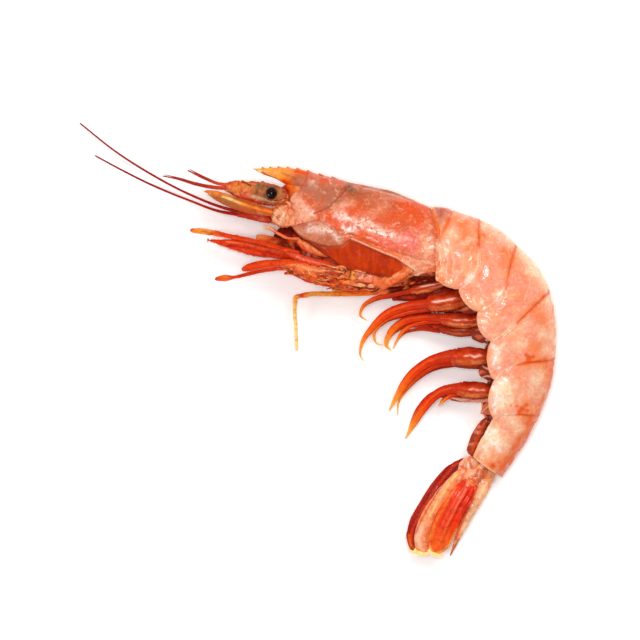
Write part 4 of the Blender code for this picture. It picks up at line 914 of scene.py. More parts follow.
# The thin membrane that joins the head shell's rear edge to the tail: orange above, yellowish fibres below.
rim = grid[-4]
left_half = ease(to_edge[0], 1.0, 0.98) * (np.arange(len(rim)) < len(rim) / 2)
rim = rim[left_half > 0.5][2::MEMBRANE_SKIP]
rim_x, rim_y = pixels(rim)
rim_z = rim[:, 2] / MM
seat = np.linspace(0.0, 1.0, len(rim))
breadth = 1.0 + 0.5 * np.sin(math.pi * seat)
thickness = np.full(len(rim), MEMBRANE_THICKNESS)
rows = np.stack([rim_x + 0.9 + 0.8 * ease(rim_y, 236, 262), rim_y, rim_z - 0.34, breadth, thickness], axis=1)
membrane = limb(rows, 200, 18, 0.22, seed=4)
x, y = pixels(membrane)
threads = ease(lumps(membrane * [1.6, 0.5, 1.0], 1.2, 8.0), -0.1, 0.3)
upper = ease(y, 246, 234)
fibres = {
    "band": upper * (0.6 + 0.4 * threads),
    "pale": (1 - upper) * (0.4 + 0.6 * threads),
    "hem": (1 - upper) * 0.45 * threads,
    "orange": (1 - upper) * (1 - threads) * 0.7,
}
skin("head_shell", [(grid, masks), (membrane, fibres)], head_paint, "carapace")

# ---------------------------------------------------------------- beak
# A flat blade that runs forward from the middle of the head shell's back, amber and almost clear. Its upper
# edge is a saw of small teeth that lean forward, and its side has a low ridge.

BEAK_TOP = [(253, 168.6), (264, 168.3), (282, 167.6), (300, 169.4), (322, 175.2), (352, 182.4)]
BEAK_UNDER = [
    (253, 168.6), (262, 174), (275, 178.5), (287, 185.5), (298, 193), (316, 197), (346, 190),
]
BEAK_THICKNESS = [
    (253, 0.16), (262, 0.42), (276, 0.62), (286, 1.1), (294, 1.9), (302, 2.4), (312, 2.6), (350, 2.6),
]
TOOTH_COUNT = 9
TOOTH_FIRST = 262.0
TOOTH_PITCH = 7.6
TOOTH_GROWTH = 1.09
TOOTH_HEIGHT = 0.5
TOOTH_FOOT = 0.55
TOOTH_FRONT = 0.8
KEEL_LINE = [(256, 169.6), (268, 171.5), (282, 175), (296, 178)]
BEAK_ROOT_X = 344.0
BEAK_LEAST = 0.8
BEAK_SHARPNESS = 1.15
BEAK_STEPS, BEAK_SIDES = 300, 44
AMBER = (0.92, 0.40, 0.06)
ORANGE = (0.90, 0.17, 0.010)
SCARLET = (0.80, 0.050, 0.003)
RED = (0.58, 0.020, 0.002)
MAROON = (0.13, 0.004, 0.001)
STRAW = (0.95, 0.66, 0.24)
CREAM = (0.95, 0.72, 0.44)
PEACH = (0.94, 0.42, 0.19)
SALMON = (0.90, 0.17, 0.06)
BROWN = (0.34, 0.08, 0.01)
BEAK_ROOT_TAN = (0.50, 0.16, 0.085)


class Tint:
    """The colours of a grid of points, painted over a first colour in soft strokes and spots."""

    def __init__(self, grid, colour):
        self.grid = grid
        self.x, self.y = pixels(grid)
        self.rgb = np.ones((*self.x.shape, 3)) * colour

    def over(self, colour, cover):
        cover = np.clip(np.broadcast_to(cover, self.x.shape), 0.0, 1.0)[..., None]
        self.rgb = self.rgb + (np.asarray(colour) - self.rgb) * cover

    def mottle(self, colour, strength, size, seed, low, high, stretch=(1, 1, 1), within=1.0):
        """Clouds of a colour, where smooth noise of this size in mm rises from low to high."""
        clouds = ease(lumps(self.grid * stretch, size, seed), low, high)
        self.over(colour, strength * clouds * within)

    def spots(self, colour, *places):
        self.over(colour, spots(self.x, self.y, places))

    def line(self, colour, width, start, end, *points):
        self.over(colour, stroke(self.x, self.y, points, width, start, end))

    def marks(self, table):
        """Strokes and spots, one over the other. A stroke is a colour, its half width, its strength at both
        ends, and the pixels that it runs through. Spots are a colour and each one's x, y, radius and
        strength."""
        for colour, *mark in table:
            if isinstance(mark[0], tuple):
                self.spots(colour, *mark)
            else:
                self.line(colour, *mark)


def painted(name, tints, paint, node):
    """A piece of the animal whose closed skins have these painted tones."""
    skin(name, [(tint.grid, {"tone": tint.rgb}) for tint in tints], paint, node)


def tissue(name, roughness=0.3, dry=0.3, depth=0.12, mottle=0.5, size=1.6, bump=0.1):
    """Wet tissue in its painted tones, with darker clouds, pale flecks and a fine grain. dry is how much of
    the water film is left in the dry patches. The darkest tones are dull."""
    paint = Paint(name, roughness, 1.0, depth)
    paint.put(paint.shader.inputs["Coat IOR"], 1.36)
    paint.wet(size * 2, dry, 1 - paint.mask("tone").clip(0.03, 0.40) * 0.85)
    tone = paint.node("ShaderNodeAttribute", {"attribute_name": "tone"}, output="Color")
    cloud = paint.grain(size, 4.0, 0.6, warp=0.6)
    fleck = paint.grain(size / 3, 3.0, 0.6)
    multiply = {"data_type": "RGBA", "blend_type": "MULTIPLY"}
    shaded = paint.node("ShaderNodeMix", multiply, {0: 1.0, 6: tone, 7: (0.60, 0.36, 0.28)}, output=2)
    mixed = paint.mix(cloud.clip(0.42, 0.68) * mottle, tone, shaded)
    screen = {"data_type": "RGBA", "blend_type": "SCREEN"}
    lifted = paint.node("ShaderNodeMix", screen, {0: 1.0, 6: mixed, 7: (0.24, 0.06, 0.012)}, output=2)
    paint.colour(paint.mix(fleck.clip(0.56, 0.74) * mottle, mixed, lifted))
    paint.relief(fleck * 0.7 + cloud, bump)
    return paint


BEAK_MARKS = [
    (PEACH, (276, 171, 4, 0.4), (290, 172, 5, 0.35)),
    (CREAM, 1.6, 0.9, 0.7, (259, 171.6), (266, 175), (273, 178.6), (278, 181)),
    (RED, 0.9, 1, 1, (262, 172.4), (270, 176.4), (279, 181), (284, 184)),
    (BROWN, 0.9, 0.5, 0.7, (282, 173.4), (290, 176.2), (298, 180)),
    ((0.66, 0.12, 0.02), 2.2, 0.7, 0.9, (296, 171), (308, 172.6), (322, 176.6), (340, 181)),
    (SCARLET, 2, 1, 1, (284, 181), (290, 186), (294, 191)),
    (RED, 2.6, 1, 0.2, (251, 168.2), (257, 169.6)),
    (SCARLET, 1.8, 0.5, 0.9, (296, 171.4), (312, 175), (330, 179.4), (346, 184)),
]
beak_paint = tissue("beak_clear", 0.28, 0.4, 0.2, mottle=0.45, size=2.2)
top_line = smooth(BEAK_TOP, 60)
under_line = smooth(BEAK_UNDER, 60)
x_px = np.linspace(BEAK_TOP[0][0], BEAK_ROOT_X, BEAK_STEPS)
top_px = np.interp(x_px, *top_line.T)
teeth = [(TOOTH_FIRST, TOOTH_PITCH)]
while len(teeth) < TOOTH_COUNT:
    tooth_x, pitch = teeth[-1]
    teeth.append((tooth_x + pitch, pitch * TOOTH_GROWTH))
for tooth_x, pitch in teeth:
    foot = tooth_x + pitch * TOOTH_FOOT
    slope = np.clip((foot - x_px) / (foot - tooth_x), 0.0, 1.0) * (x_px >= tooth_x)
    front = np.clip((x_px - tooth_x + TOOTH_FRONT) / TOOTH_FRONT, 0.0, 1.0) * (x_px < tooth_x)
    top_px = top_px - TOOTH_HEIGHT * MM / PIXEL * (slope + front)
under_px = np.maximum(np.interp(x_px, *under_line.T), top_px + BEAK_LEAST)
thick = np.interp(x_px, *np.array(BEAK_THICKNESS).T)
angle = math.tau * (np.arange(BEAK_SIDES) + 0.5) / BEAK_SIDES
across = (1 - np.cos(angle)) / 2
side = np.sign(np.sin(angle)) * np.abs(np.sin(angle)) ** BEAK_SHARPNESS
y_px = top_px[:, None] + (under_px - top_px)[:, None] * across
keel = 0.22 * stroke(np.broadcast_to(x_px[:, None], y_px.shape), y_px, KEEL_LINE, 1.6)
z_mm = HEAD_MIDDLE + (thick[:, None] + keel) * side
grid = at(x_px[:, None], y_px, z_mm)
grid[..., 2] += 0.10 * MM * lumps(grid, 2.0, 7.0)
tint = Tint(grid, ORANGE)
tint.over(AMBER, ease(tint.x, 306, 268) * ease(tint.y, 183, 176))
tint.over(HEAD_SALMON, 0.8 * ease(tint.x, 286, 297) * ease(tint.y, 171, 175))
root_cloud = 0.85 + 0.5 * lumps(grid, 2.4, 3.0)
tint.over(BEAK_ROOT_TAN, ease(tint.x, 291, 299) * ease(tint.y, 173, 177) * root_cloud)
tint.marks(BEAK_MARKS)
for tooth_x, _ in teeth:
    tint.spots(BROWN, (tooth_x + 0.6, np.interp(tooth_x, *top_line.T) - 1.2, 1.3, 0.9))
painted("beak", [tint], beak_paint, "carapace")

# ---------------------------------------------------------------- thorax
# The roots of legs and mouth parts, which hang out below the head shell: soft orange lumps of muscle and thin
# torn skin, with wet gaps between them that are painted dark as shade.

LEG_ROOT_ORANGE = (0.84, 0.15, 0.03)
MOUTH_RIM_RED = (0.66, 0.05, 0.012)
ROOTS_ORANGE = (0.84, 0.16, 0.04)
HIP_ORANGE = (0.86, 0.17, 0.045)
THORAX_ROWS = [
    (281, 262.5, 1.6), (290, 268.5, 2.2), (303, 275.5, 2.8), (322, 282.5, 3.2), (343, 286, 3.6),
    (366, 286, 3.9), (388, 286, 3.9), (408, 286, 3.8), (428, 284, 3.6), (440, 281, 3),
]
MOUTH_TOP = [(284.0, 235.0), (292.0, 234.0), (303.0, 237.0)]
THORAX_STEPS, THORAX_SIDES = 260, 96
THORAX_CLEAR = 0.5
THORAX_SQUARE = 0.75
THORAX_BULGE = 1.5
UPPER_BAND = [(286, 254.5), (296, 258.5), (304, 261.5), (314, 264.5), (324, 266.5), (338, 268)]
LEG_ROOT_BAND = [
    (281, 264.2, 14.2, 0.8, 0.8), (290, 266, 15, 2.2, 1.2), (301, 269.4, 15.6, 3.6, 1.6),
    (313, 273.6, 15.7, 4.8, 1.8), (326, 277.6, 15.5, 5.6, 2), (339, 279.6, 15.2, 5.4, 2.2),
    (352, 280.8, 14.6, 3, 1.6),
]
MOUTH_RIM = [
    (285, 251.6, 14.6, 0.8, 0.8), (295, 256.2, 15.5, 2, 1.1), (308, 261.2, 15.4, 2.6, 1.2),
    (322, 264.6, 15.2, 2.6, 1.2), (338, 266.6, 14.6, 1.4, 1),
]
LEG_ROOTS = [
    (342, 279, 14.8, 2.6, 1.6), (352, 277, 15.6, 4.8, 2.2), (364, 278.8, 15.6, 4.6, 2.2),
    (378, 280.4, 15.2, 4.4, 2.2), (392, 279, 14.6, 3.8, 2), (406, 274, 14.6, 3.6, 1.8),
    (420, 268.4, 14.6, 3, 1.6), (434, 264, 14.2, 1.6, 1.4),
]
LAST_HIP = [
    (424, 261, 15.8, 0.8, 0.8), (414, 265.6, 16.7, 2, 1.4), (404, 272.6, 16.8, 2.7, 1.6),
    (392, 280.4, 16, 2.8, 1.8), (381, 286.8, 14.2, 2.5, 1.7), (371, 290.6, 11.4, 1.8, 1.6),
]
COXAE = [(346, 279), (358, 278), (370, 280), (383, 279.5), (396, 278), (408, 276), (420, 272)]
GAP_LINE = [(300, 262), (310, 267.5), (320, 269.5), (334, 266)]
PITS = [(283, 245, 4.5, 1), (313, 276, 2.2, 0.6), (329, 278, 3.5, 1), (298, 250, 3, 1)]
# Painted shade in the pits and the painted shadow under the palp, dark maroon, with an orange-brown plate
# between.
GAP_MARKS = [
    (MAROON, (283, 245, 6, 1), (298, 250, 4.5, 1), (284, 234, 6, 0.9)),
    ((0.50, 0.07, 0.008), (291.5, 243, 3.2, 0.9), (291.5, 248, 3.2, 0.9), (293, 253, 3, 0.7)),
    (MAROON, 2.6, 1, 0.9, (295, 244), (297, 251), (301, 255.8), (307, 258.4), (315, 259.2), (323, 258)),
    (MAROON, 1.2, 1, 1, (322, 258), (328, 256.6), (333, 257)),
]

stations = smooth(HEAD_SHELL_ROWS, 84)
numbers = np.arange(len(stations))
mouth = smooth(MOUTH_TOP, 24)
rings = []
for bottom_x, bottom_y, wide in smooth(THORAX_ROWS, THORAX_STEPS):
    place = float(np.interp(bottom_x, stations[:, 2], numbers))
    back_x, back_y, edge_x, edge_y = (np.interp(place, numbers, column) for column in stations.T[:4])
    belly_up = belly_height(place / numbers[-1])
    down = np.array([edge_x - back_x, edge_y - back_y])
    down /= np.linalg.norm(down)
    shell_top = np.array([edge_x, edge_y]) - down * (belly_up - SHELL_EDGE / 2 - THORAX_CLEAR) * MM / PIXEL
    mouth_top = np.array([bottom_x, np.interp(bottom_x, *mouth.T)])
    under_shell = ease(bottom_x, mouth[-1, 0] - 3, mouth[-1, 0] + 6)
    top = at(*(mouth_top + (shell_top - mouth_top) * under_shell))
    bottom = at(bottom_x, bottom_y)
    angle = math.tau * (np.arange(THORAX_SIDES) + 0.5) / THORAX_SIDES
    out = np.sign(np.sin(angle)) * np.abs(np.sin(angle)) ** THORAX_SQUARE
    reach = np.sign(np.cos(angle)) * np.abs(np.cos(angle)) ** THORAX_SQUARE
    ring = (top + bottom) / 2 + np.outer(reach, (bottom - top) / 2)
    ring[:, 2] = (HEAD_MIDDLE + (wide + THORAX_BULGE) * out) * MM
    rings.append(ring)
grid = np.array(rings)
x, y = pixels(grid)
height = 0.55 * stroke(x, y, UPPER_BAND, 2.2)
height -= 0.8 * stroke(x, y, GAP_LINE, 1.3)
height += 0.7 * spots(x, y, [(cx, cy, 5.0, 1.0) for cx, cy in COXAE])
height -= 0.6 * spots(x, y, [(cx + 6.2, cy + 1, 2.0, 1.0) for cx, cy in COXAE])
height -= spots(x, y, PITS)
height += 0.30 * lumps(grid, 2.6, 2.0) + 0.20 * lumps(grid, 1.2, 6.0) + 0.08 * lumps(grid, 0.6, 1.0)
grid = raised(grid, height)
tint = Tint(grid, GILL_ORANGE)
tint.over(SALMON, ease(tint.x, 338, 352) * ease(tint.y, 268, 274))
tint.over((0.50, 0.036, 0.001), ease(tint.y, 264, 256) * ease(tint.x, 300, 306))
tint.spots(PEACH, *[(cx, cy + 1, 3.6, 0.6) for cx, cy in COXAE])
# Painted shade: dark maroon in the dents beside each hip and in the gap behind the last leg's root.
tint.spots(MAROON, *[(cx + 6.4, cy, 1.5, 0.8) for cx, cy in COXAE])
tint.over(MAROON, ease(tint.x, 400, 412) * ease(tint.y, 273, 277))
tint.marks(GAP_MARKS)
tint.mottle(MAROON, 0.6, 1.6, 12.0, 0.18, 0.5, within=ease(tint.y, 262, 268))


def flap(rows, colour, rough=0.14, steps=110, around=40, seed=0.0, blunt=0.08):
    """A strip of torn flesh that lies on the roots of the legs, with its colours still to be painted."""
    return Tint(limb(rows, steps, around, rough, seed=seed, blunt=blunt), colour)


BAND_MARKS = [
    (PEACH, 1.5, 0.5, 0.8, (288, 263), (300, 266), (312, 270), (322, 271.4)),
    (SCARLET, 2.2, 0.6, 0.8, (290, 267.6), (302, 272), (312, 277), (322, 283)),
    (AMBER, 1, 0.4, 0.6, (298, 269), (308, 273.4), (318, 277.6)),
    (BROWN, 1.3, 0.9, 0.5, (282, 265.8), (290, 269.4), (298, 273.6), (308, 278.4), (318, 284)),
    ((0.94, 0.42, 0.27), (326, 269.5, 5, 0.9), (333, 270, 4, 0.8)),
    (SCARLET, (326, 284, 5, 0.9), (333, 284, 4, 0.8), (318, 276, 3, 0.6)),
]
band = flap(LEG_ROOT_BAND, LEG_ROOT_ORANGE, 0.2, seed=2.0)
band.marks(BAND_MARKS)
band.mottle(MAROON, 0.8, 1.2, 22.0, 0.12, 0.36, (0.6, 1.4, 1), within=ease(band.x, 314, 324))
band.mottle(BROWN, 0.7, 1.0, 25.0, 0.15, 0.4, (0.4, 1.5, 1), within=ease(band.y, 268, 274))

RIM_MARKS = [
    ((0.82, 0.16, 0.09), 1.3, 0.6, 0.9, (292, 254.4), (300, 258), (310, 261.4), (322, 264)),
    (MAROON, 1.2, 0.6, 0.9, (300, 263), (310, 266), (320, 268), (334, 267)),
    (SCARLET, 1, 0.5, 0.5, (288, 255), (298, 260), (308, 263.4)),
]
rim = flap(MOUTH_RIM, MOUTH_RIM_RED, 0.12, seed=5.0)
rim.marks(RIM_MARKS)

ROOT_MARKS = [
    ((0.93, 0.44, 0.32), (363, 275, 4, 0.9), (371, 278, 4, 0.6), (357, 273, 3, 0.6)),
    (AMBER, (352, 277, 3, 0.8), (353, 272, 2.4, 0.7), (386, 277, 2.6, 0.6), (410, 268, 5, 0.7)),
    (SALMON, (376, 281, 5, 0.8), (368, 284, 4, 0.5)),
    (PEACH, (410, 270, 4, 0.6), (420, 266, 4, 0.7), (404, 272, 3, 0.4)),
    # Painted shade: dark maroon lines in the gaps between the leg roots.
    (MAROON, 1.2, 1, 0.8, (350, 267), (350.6, 273), (349, 280)),
    (MAROON, 1.1, 0.8, 0.7, (342, 284), (352, 283), (362, 282.6), (372, 286)),
    (MAROON, 1, 0.6, 0.9, (384, 275.6), (392, 276), (398, 275), (401, 272)),
    (MAROON, 2.2, 0.9, 0.7, (396, 286), (410, 281), (424, 275), (436, 269)),
]
roots = flap(LEG_ROOTS, ROOTS_ORANGE, 0.2, steps=160, seed=7.0)
roots.marks(ROOT_MARKS)
roots.mottle(MAROON, 0.7, 1.2, 31.0, 0.15, 0.4, (0.6, 1.4, 1), within=ease(roots.x, 378, 366))
roots.mottle(BROWN, 0.5, 1.0, 35.0, 0.15, 0.4, (0.6, 1.4, 1))

HIP_MARKS = [
    (PEACH, 1.3, 0.4, 0.6, (376, 285.6), (388, 279.6), (400, 273)),
    (PEACH, (414, 266, 5, 0.8), (424, 262, 5, 0.9)),
    (SCARLET, 1.2, 0.7, 0.8, (380, 291), (392, 285.4), (406, 278)),
    (BROWN, 0.8, 1, 1, (372.6, 285.6), (376.4, 291.4)),
]
hip = flap(LAST_HIP, HIP_ORANGE, 0.08, seed=9.0)
hip.marks(HIP_MARKS)


BRIGHTEST = 0.95


def shreds(count, line, spread, slant, length, height, thick, colours, seed):
    """Fine torn strips along a line of pixels: how far they spread from it and how long they are in pixels,
    their slant in degrees, and their height and thickness in mm."""
    chance = np.random.default_rng(seed)
    made = []
    for _ in range(count):
        x_px = chance.uniform(line[0][0], line[-1][0])
        y_px = np.interp(x_px, *np.array(line, float).T) + chance.normal(0.0, spread)
        turn = math.radians(chance.normal(slant, 16.0))
        half = chance.uniform(0.4, 1.0) * length / 2
        run = np.array([math.cos(turn), math.sin(turn)]) * half
        bend = np.array([-run[1], run[0]]) * chance.uniform(-0.5, 0.5)
        top = height + chance.uniform(-0.5, 0.5)
        broad = thick * chance.uniform(0.5, 1.3)
        rows = [
            (x_px - run[0], y_px - run[1], top - 0.6, broad * 0.7, broad * 0.4),
            (x_px + bend[0], y_px + bend[1], top, broad, broad * 0.6),
            (x_px + run[0], y_px + run[1], top - 0.5, 0.2, 0.2),
        ]
        strip = limb(rows, 14, 8, 0.12, seed=chance.uniform(0.0, 50.0))
        colour = np.array(colours[chance.integers(len(colours))]) * chance.uniform(0.75, 1.1)
        made.append(Tint(strip, np.minimum(colour, BRIGHTEST)))
    return made


TORN_ORANGE = (
    (0.80, 0.12, 0.02), (0.74, 0.07, 0.012), (0.86, 0.20, 0.06), (0.62, 0.05, 0.01), (0.30, 0.02, 0.004),
    (0.90, 0.30, 0.11),
)
TORN_BROWN = (BROWN, (0.30, 0.02, 0.004), (0.62, 0.10, 0.02), (0.84, 0.20, 0.05))
TORN_PALE = (PEACH, (0.92, 0.30, 0.11), (0.93, 0.46, 0.25), (0.86, 0.18, 0.05), (0.90, 0.24, 0.08))
torn = shreds(46, [(318, 277), (346, 279)], 4.4, 12.0, 17.0, 16.9, 0.6, TORN_ORANGE, 1)
torn += shreds(34, [(284, 266), (298, 272.6), (318, 283)], 1.6, 35.0, 5.0, 15.2, 0.55, TORN_BROWN, 2)
torn += shreds(40, [(342, 286.5), (378, 288)], 1.8, 4.0, 13.0, 14.6, 0.55, TORN_ORANGE, 3)
torn += shreds(34, [(402, 270), (418, 266), (434, 262)], 3.2, -28.0, 9.0, 16.9, 0.9, TORN_PALE, 4)
torn += shreds(26, [(396, 286), (412, 281), (438, 273)], 2.2, -24.0, 9.0, 14.0, 0.7, TORN_BROWN, 5)
torn += shreds(14, [(322, 268.5), (344, 270.5)], 1.4, 8.0, 14.0, 16.2, 0.6, TORN_PALE, 6)

thorax_paint = tissue("torn_flesh", 0.34, 0.0, 0.15, mottle=0.8, size=1.6, bump=0.16)
painted("thorax_flesh", [tint, band, rim, roots, hip, *torn], thorax_paint, "thorax")

# ---------------------------------------------------------------- tail fan
# Four thin blades on short stout bases beside a middle spike. Each blade has a raised rib and a fringe of
# fine hairs; the left pair lies on the right pair, which shows as a dark red edge.

TELSON = [
    (488.6, 469, 4.3, 5.6, 2.6), (480.2, 491, 4.3, 4.8, 2.6), (469.6, 512, 4.2, 3.6, 2.2),
    (459.8, 534, 3.9, 2.2, 1.6), (450.5, 556.5, 3.4, 0.4, 0.5),
]
FAN_LUMPS = [
    [(485, 459, 5.6, 3.4, 2.2), (481, 470, 6.2, 4.6, 2.6), (477, 482, 6.4, 2.6, 2)],
    [(479, 461.6, 6.8, 3, 2), (469, 463.6, 7.2, 4.2, 2.2), (458.6, 469.6, 6.4, 1.8, 1.4)],
    [(477, 470.6, 7.2, 2.6, 1.8), (468, 474.6, 7.6, 4.2, 2), (457, 482.6, 6.9, 1.6, 1.2)],
    [(478.6, 478, 7.6, 1.6, 1.2), (472, 482, 8.2, 3.2, 1.4), (464, 488, 8.4, 1.2, 0.8)],
]
LUMP_TONES = (PEACH, (0.93, 0.42, 0.24), (0.92, 0.36, 0.18), (0.86, 0.20, 0.07))
LEFT_OUTER = [
    (466, 471, 6.8, 3.8, 1.4), (450.6, 491, 6.8, 6.4, 1.1), (438, 511, 6.2, 7.6, 1),
    (428, 531, 5.5, 7.4, 0.9), (423.4, 545.6, 5, 5.6, 0.7), (421.6, 552.4, 4.8, 3.2, 0.5),
]
LEFT_INNER = [
    (472, 481, 8.1, 4.8, 1), (461, 498, 8.6, 6.8, 0.9), (451, 514, 8.1, 7.8, 0.9),
    (443, 531, 7.3, 7.8, 0.8), (437.8, 546, 6.7, 6.2, 0.6), (435.2, 553.2, 6.4, 3.4, 0.5),
]
RIGHT_OUTER = [
    (470, 459.5, 2.7, 2.6, 1.6), (453, 474, 2.5, 5.6, 1.2), (440.6, 491, 2.1, 6.8, 1),
    (429.6, 509, 1.8, 7.2, 0.9), (420.2, 527, 1.5, 7, 0.8), (416.4, 543, 1.2, 5.6, 0.7),
    (416.4, 551.5, 1.1, 2.8, 0.6),
]
RIGHT_INNER = [
    (476, 473, 2.2, 2.2, 1), (462, 493, 2.2, 4.2, 0.9), (452, 511, 1.9, 5.4, 0.8),
    (444, 529, 1.6, 5.2, 0.8), (438, 545, 1.4, 2, 0.5),
]


def blend_along(grid, *stops):
    """A colour for each ring. Each stop is a share of the length and a colour."""
    share = share_along(grid.mean(axis=1))
    places, colours = zip(*stops)
    return np.stack([np.interp(share, places, channel) for channel in zip(*colours)], axis=-1)[:, None]


def hairs(name, ends, width, colour, paint, node):
    """Fine hairs as slim three-sided spikes from each root to its tip, all one piece. Width in mm."""
    roots, tips = ends
    run = tips - roots
    run_length = np.maximum(np.linalg.norm(run, axis=1, keepdims=True), 1e-9)
    side = np.cross(run / run_length, [0.0, 0.0, 1.0])
    side /= np.maximum(np.linalg.norm(side, axis=1, keepdims=True), 1e-9)
    top = np.cross(side, run / run_length)
    corners = []
    for turn in (0.0, 1 / 3, 2 / 3):
        angle = math.tau * turn
        corners.append(roots + (side * math.cos(angle) + top * math.sin(angle)) * width * MM / 2)
    corners = np.stack([*corners, tips], axis=1).reshape(-1, 3)
    corners[:, 2] = np.maximum(corners[:, 2], 0.0)
    faces = []
    for first in range(0, len(corners), 4):
        a, b, c, tip = range(first, first + 4)
        faces.extend([(a, b, tip), (b, c, tip), (c, a, tip), (c, b, a)])
    mesh = bpy.data.meshes.new(name)
    mesh.from_pydata(corners.tolist(), [], faces)
    layer = mesh.attributes.new("tone", "FLOAT_COLOR", "POINT")
    layer.data.foreach_set("color", np.tile([*colour, 1.0], len(corners)).astype(np.float32))
    place_piece(name, mesh, paint, node)


TIP_HAIRS = 0.6


def fringe(grid, first, last, count, length, lean, seed):
    """Roots and tips of hairs on both edges of a flat limb between two shares of its length. Length in mm,
    and lean is how far the hairs lie back along the limb, from 0 to 1."""
    chance = np.random.default_rng(seed)
    row = chance.integers(int(first * len(grid)), int(last * len(grid)), count)
    edge = chance.integers(0, 2, count) * (grid.shape[1] // 2)
    at_tip = np.arange(count) < count * TIP_HAIRS
    row = np.where(at_tip, len(grid) - 2, row)
    edge = np.where(at_tip, chance.integers(0, grid.shape[1], count), edge)
    middle = grid.mean(axis=1)
    forward = np.gradient(middle, axis=0)
    forward /= np.linalg.norm(forward, axis=1, keepdims=True)
    roots = grid[row, edge]
    away = roots - middle[row]
    away /= np.linalg.norm(away, axis=1, keepdims=True)
    run = forward[row] * lean + away * (1 - lean) + chance.normal(0.0, 0.10, (count, 3))
    run /= np.linalg.norm(run, axis=1, keepdims=True)
    reach = length * MM * chance.uniform(0.5, 1.0, (count, 1))
    return roots - away * 0.1 * MM, roots + run * reach


OUTER_ORANGE = (0.88, 0.24, 0.085)
OUTER_CLOUD = (0.90, 0.34, 0.16)
OUTER_PALE = (0.93, 0.50, 0.34)
LUMP_PALE = (0.96, 0.66, 0.52)
LUMP_RED = (0.78, 0.11, 0.02)
LUMP_DARK = (0.60, 0.07, 0.01)
INNER_RED = (0.84, 0.036, 0.005)
INNER_CLOUD = (0.72, 0.026, 0.004)
INNER_TIP = (0.90, 0.13, 0.012)
RIGHT_OUTER_RED = (0.40, 0.012, 0.003)
FAN_HAIR_WIDTH = 0.12
FRINGE_YELLOW = (0.98, 0.68, 0.24)
# The hairs' emission is painted light: a glow that stands in for light shining through them.
FRINGE_GLOW, FRINGE_GLOW_STRENGTH = (1.0, 0.62, 0.20), 0.3
fan_paint = tissue("fan_wet", 0.26, 0.05, 0.12, mottle=0.6, size=1.6, bump=0.14)
fringe_paint = tissue("fringe_hair", 0.5, 0.0, 0.0, mottle=0.2, size=1.0, bump=0.02)
fringe_paint.put(fringe_paint.shader.inputs["Emission Color"], FRINGE_GLOW)
fringe_paint.put(fringe_paint.shader.inputs["Emission Strength"], FRINGE_GLOW_STRENGTH)


def blade(rows, rib, depth, seed):
    """A blade of the fan, with a low rib along the line of pixels and fine ribs beside it."""
    grid = limb(rows, 130, 64, 0.05, seed=seed)
    x, y = pixels(grid)
    away, _ = line_distance(x, y, rib)
    height = depth * hump(away, 1.1) - 0.5 * depth * hump(away, 0.9, 2.2)
    height += 0.07 * np.cos(away * 2.1) * ease(away, 3, 5) + 0.10 * lumps(grid, 3.0, seed)
    return raised(grid, height)


TELSON_MARKS = [
    (CREAM, 2, 0.8, 0.5, (486, 484), (474, 508), (463, 530)),
    (SCARLET, 1.1, 0.5, 0.9, (482, 478), (472, 500), (463, 522), (456, 540)),
    (BROWN, 1.3, 0.6, 1, (459, 540), (450, 557)),
    (ORANGE, (486, 478, 4, 0.6), (476, 500, 3, 0.4)),
]
telson = limb(TELSON, 110, 40, 0.10, seed=11)
tint = Tint(telson, PEACH)
tint.mottle((0.90, 0.24, 0.09), 0.7, 2.0, 4.0, 0.0, 0.35)
tint.marks(TELSON_MARKS)
painted("telson_spike", [tint], fan_paint, "telson")

LEFT_OUTER_MARKS = [
    ((0.95, 0.60, 0.20), 1.7, 0.8, 0.8, (457, 474), (447, 487), (437, 503), (430, 516)),
    (PEACH, 2.4, 0.7, 0.8, (448, 480), (436, 498), (425, 518), (418, 536)),
    ((0.95, 0.58, 0.42), 2.6, 0.5, 0.9, (422, 528), (418, 540), (420, 550)),
    ((0.88, 0.10, 0.012), 2.6, 0.9, 0.9, (460, 481), (450, 497), (440, 513), (433, 529), (429, 546)),
    ((0.90, 0.16, 0.03), 1.2, 0.7, 0.9, (412, 541), (415, 548), (422, 552.4), (430, 553)),
]
LEFT_OUTER_EDGES = [
    (RED, 0.8, 1, 0.6, (459, 466), (448, 477.6), (438.4, 491), (428.4, 508), (420.4, 523), (414.4, 536)),
    (AMBER, 0.9, 0.8, 0.9, (415, 545), (418, 550), (425, 553.6)),
]
outer = blade(LEFT_OUTER, [(462, 478), (446, 500), (434, 524), (428, 545)], 0.22, 1)
tint = Tint(outer, OUTER_ORANGE)
tint.mottle(OUTER_CLOUD, 0.7, 1.4, 12.0, -0.1, 0.3, (1.0, 0.5, 1.0))
tint.marks(LEFT_OUTER_MARKS)
pale_side = ease(tint.y, 518, 530) * ease(tint.x, 428, 422)
tint.mottle(OUTER_PALE, 0.7, 1.1, 40.0, 0.0, 0.3, within=pale_side)
tint.marks(LEFT_OUTER_EDGES)
tints = [tint]
for i, (rows, colour) in enumerate(zip(FAN_LUMPS, LUMP_TONES)):
    lump = Tint(limb(rows, 60, 44, 0.22, seed=5.0 + i, blunt=0.3), colour)
    lump.mottle(LUMP_PALE, 0.8, 2.0, i, 0.0, 0.35)
    lump.mottle(LUMP_RED, 0.8, 1.2, i + 3, 0.08, 0.32, (1.0, 0.5, 1.0))
    if i == 0:
        lump.mottle(LUMP_DARK, 0.7, 1.8, 9.0, -0.2, 0.2)
    tints.append(lump)
painted("fan_left_outer", tints, fan_paint, "uropod_left_outer")
ends = fringe(outer, 0.93, 0.99, 420, 1.6, 0.85, 21)
hairs("fan_hairs_outer", ends, FAN_HAIR_WIDTH, FRINGE_YELLOW, fringe_paint, "uropod_left_outer")

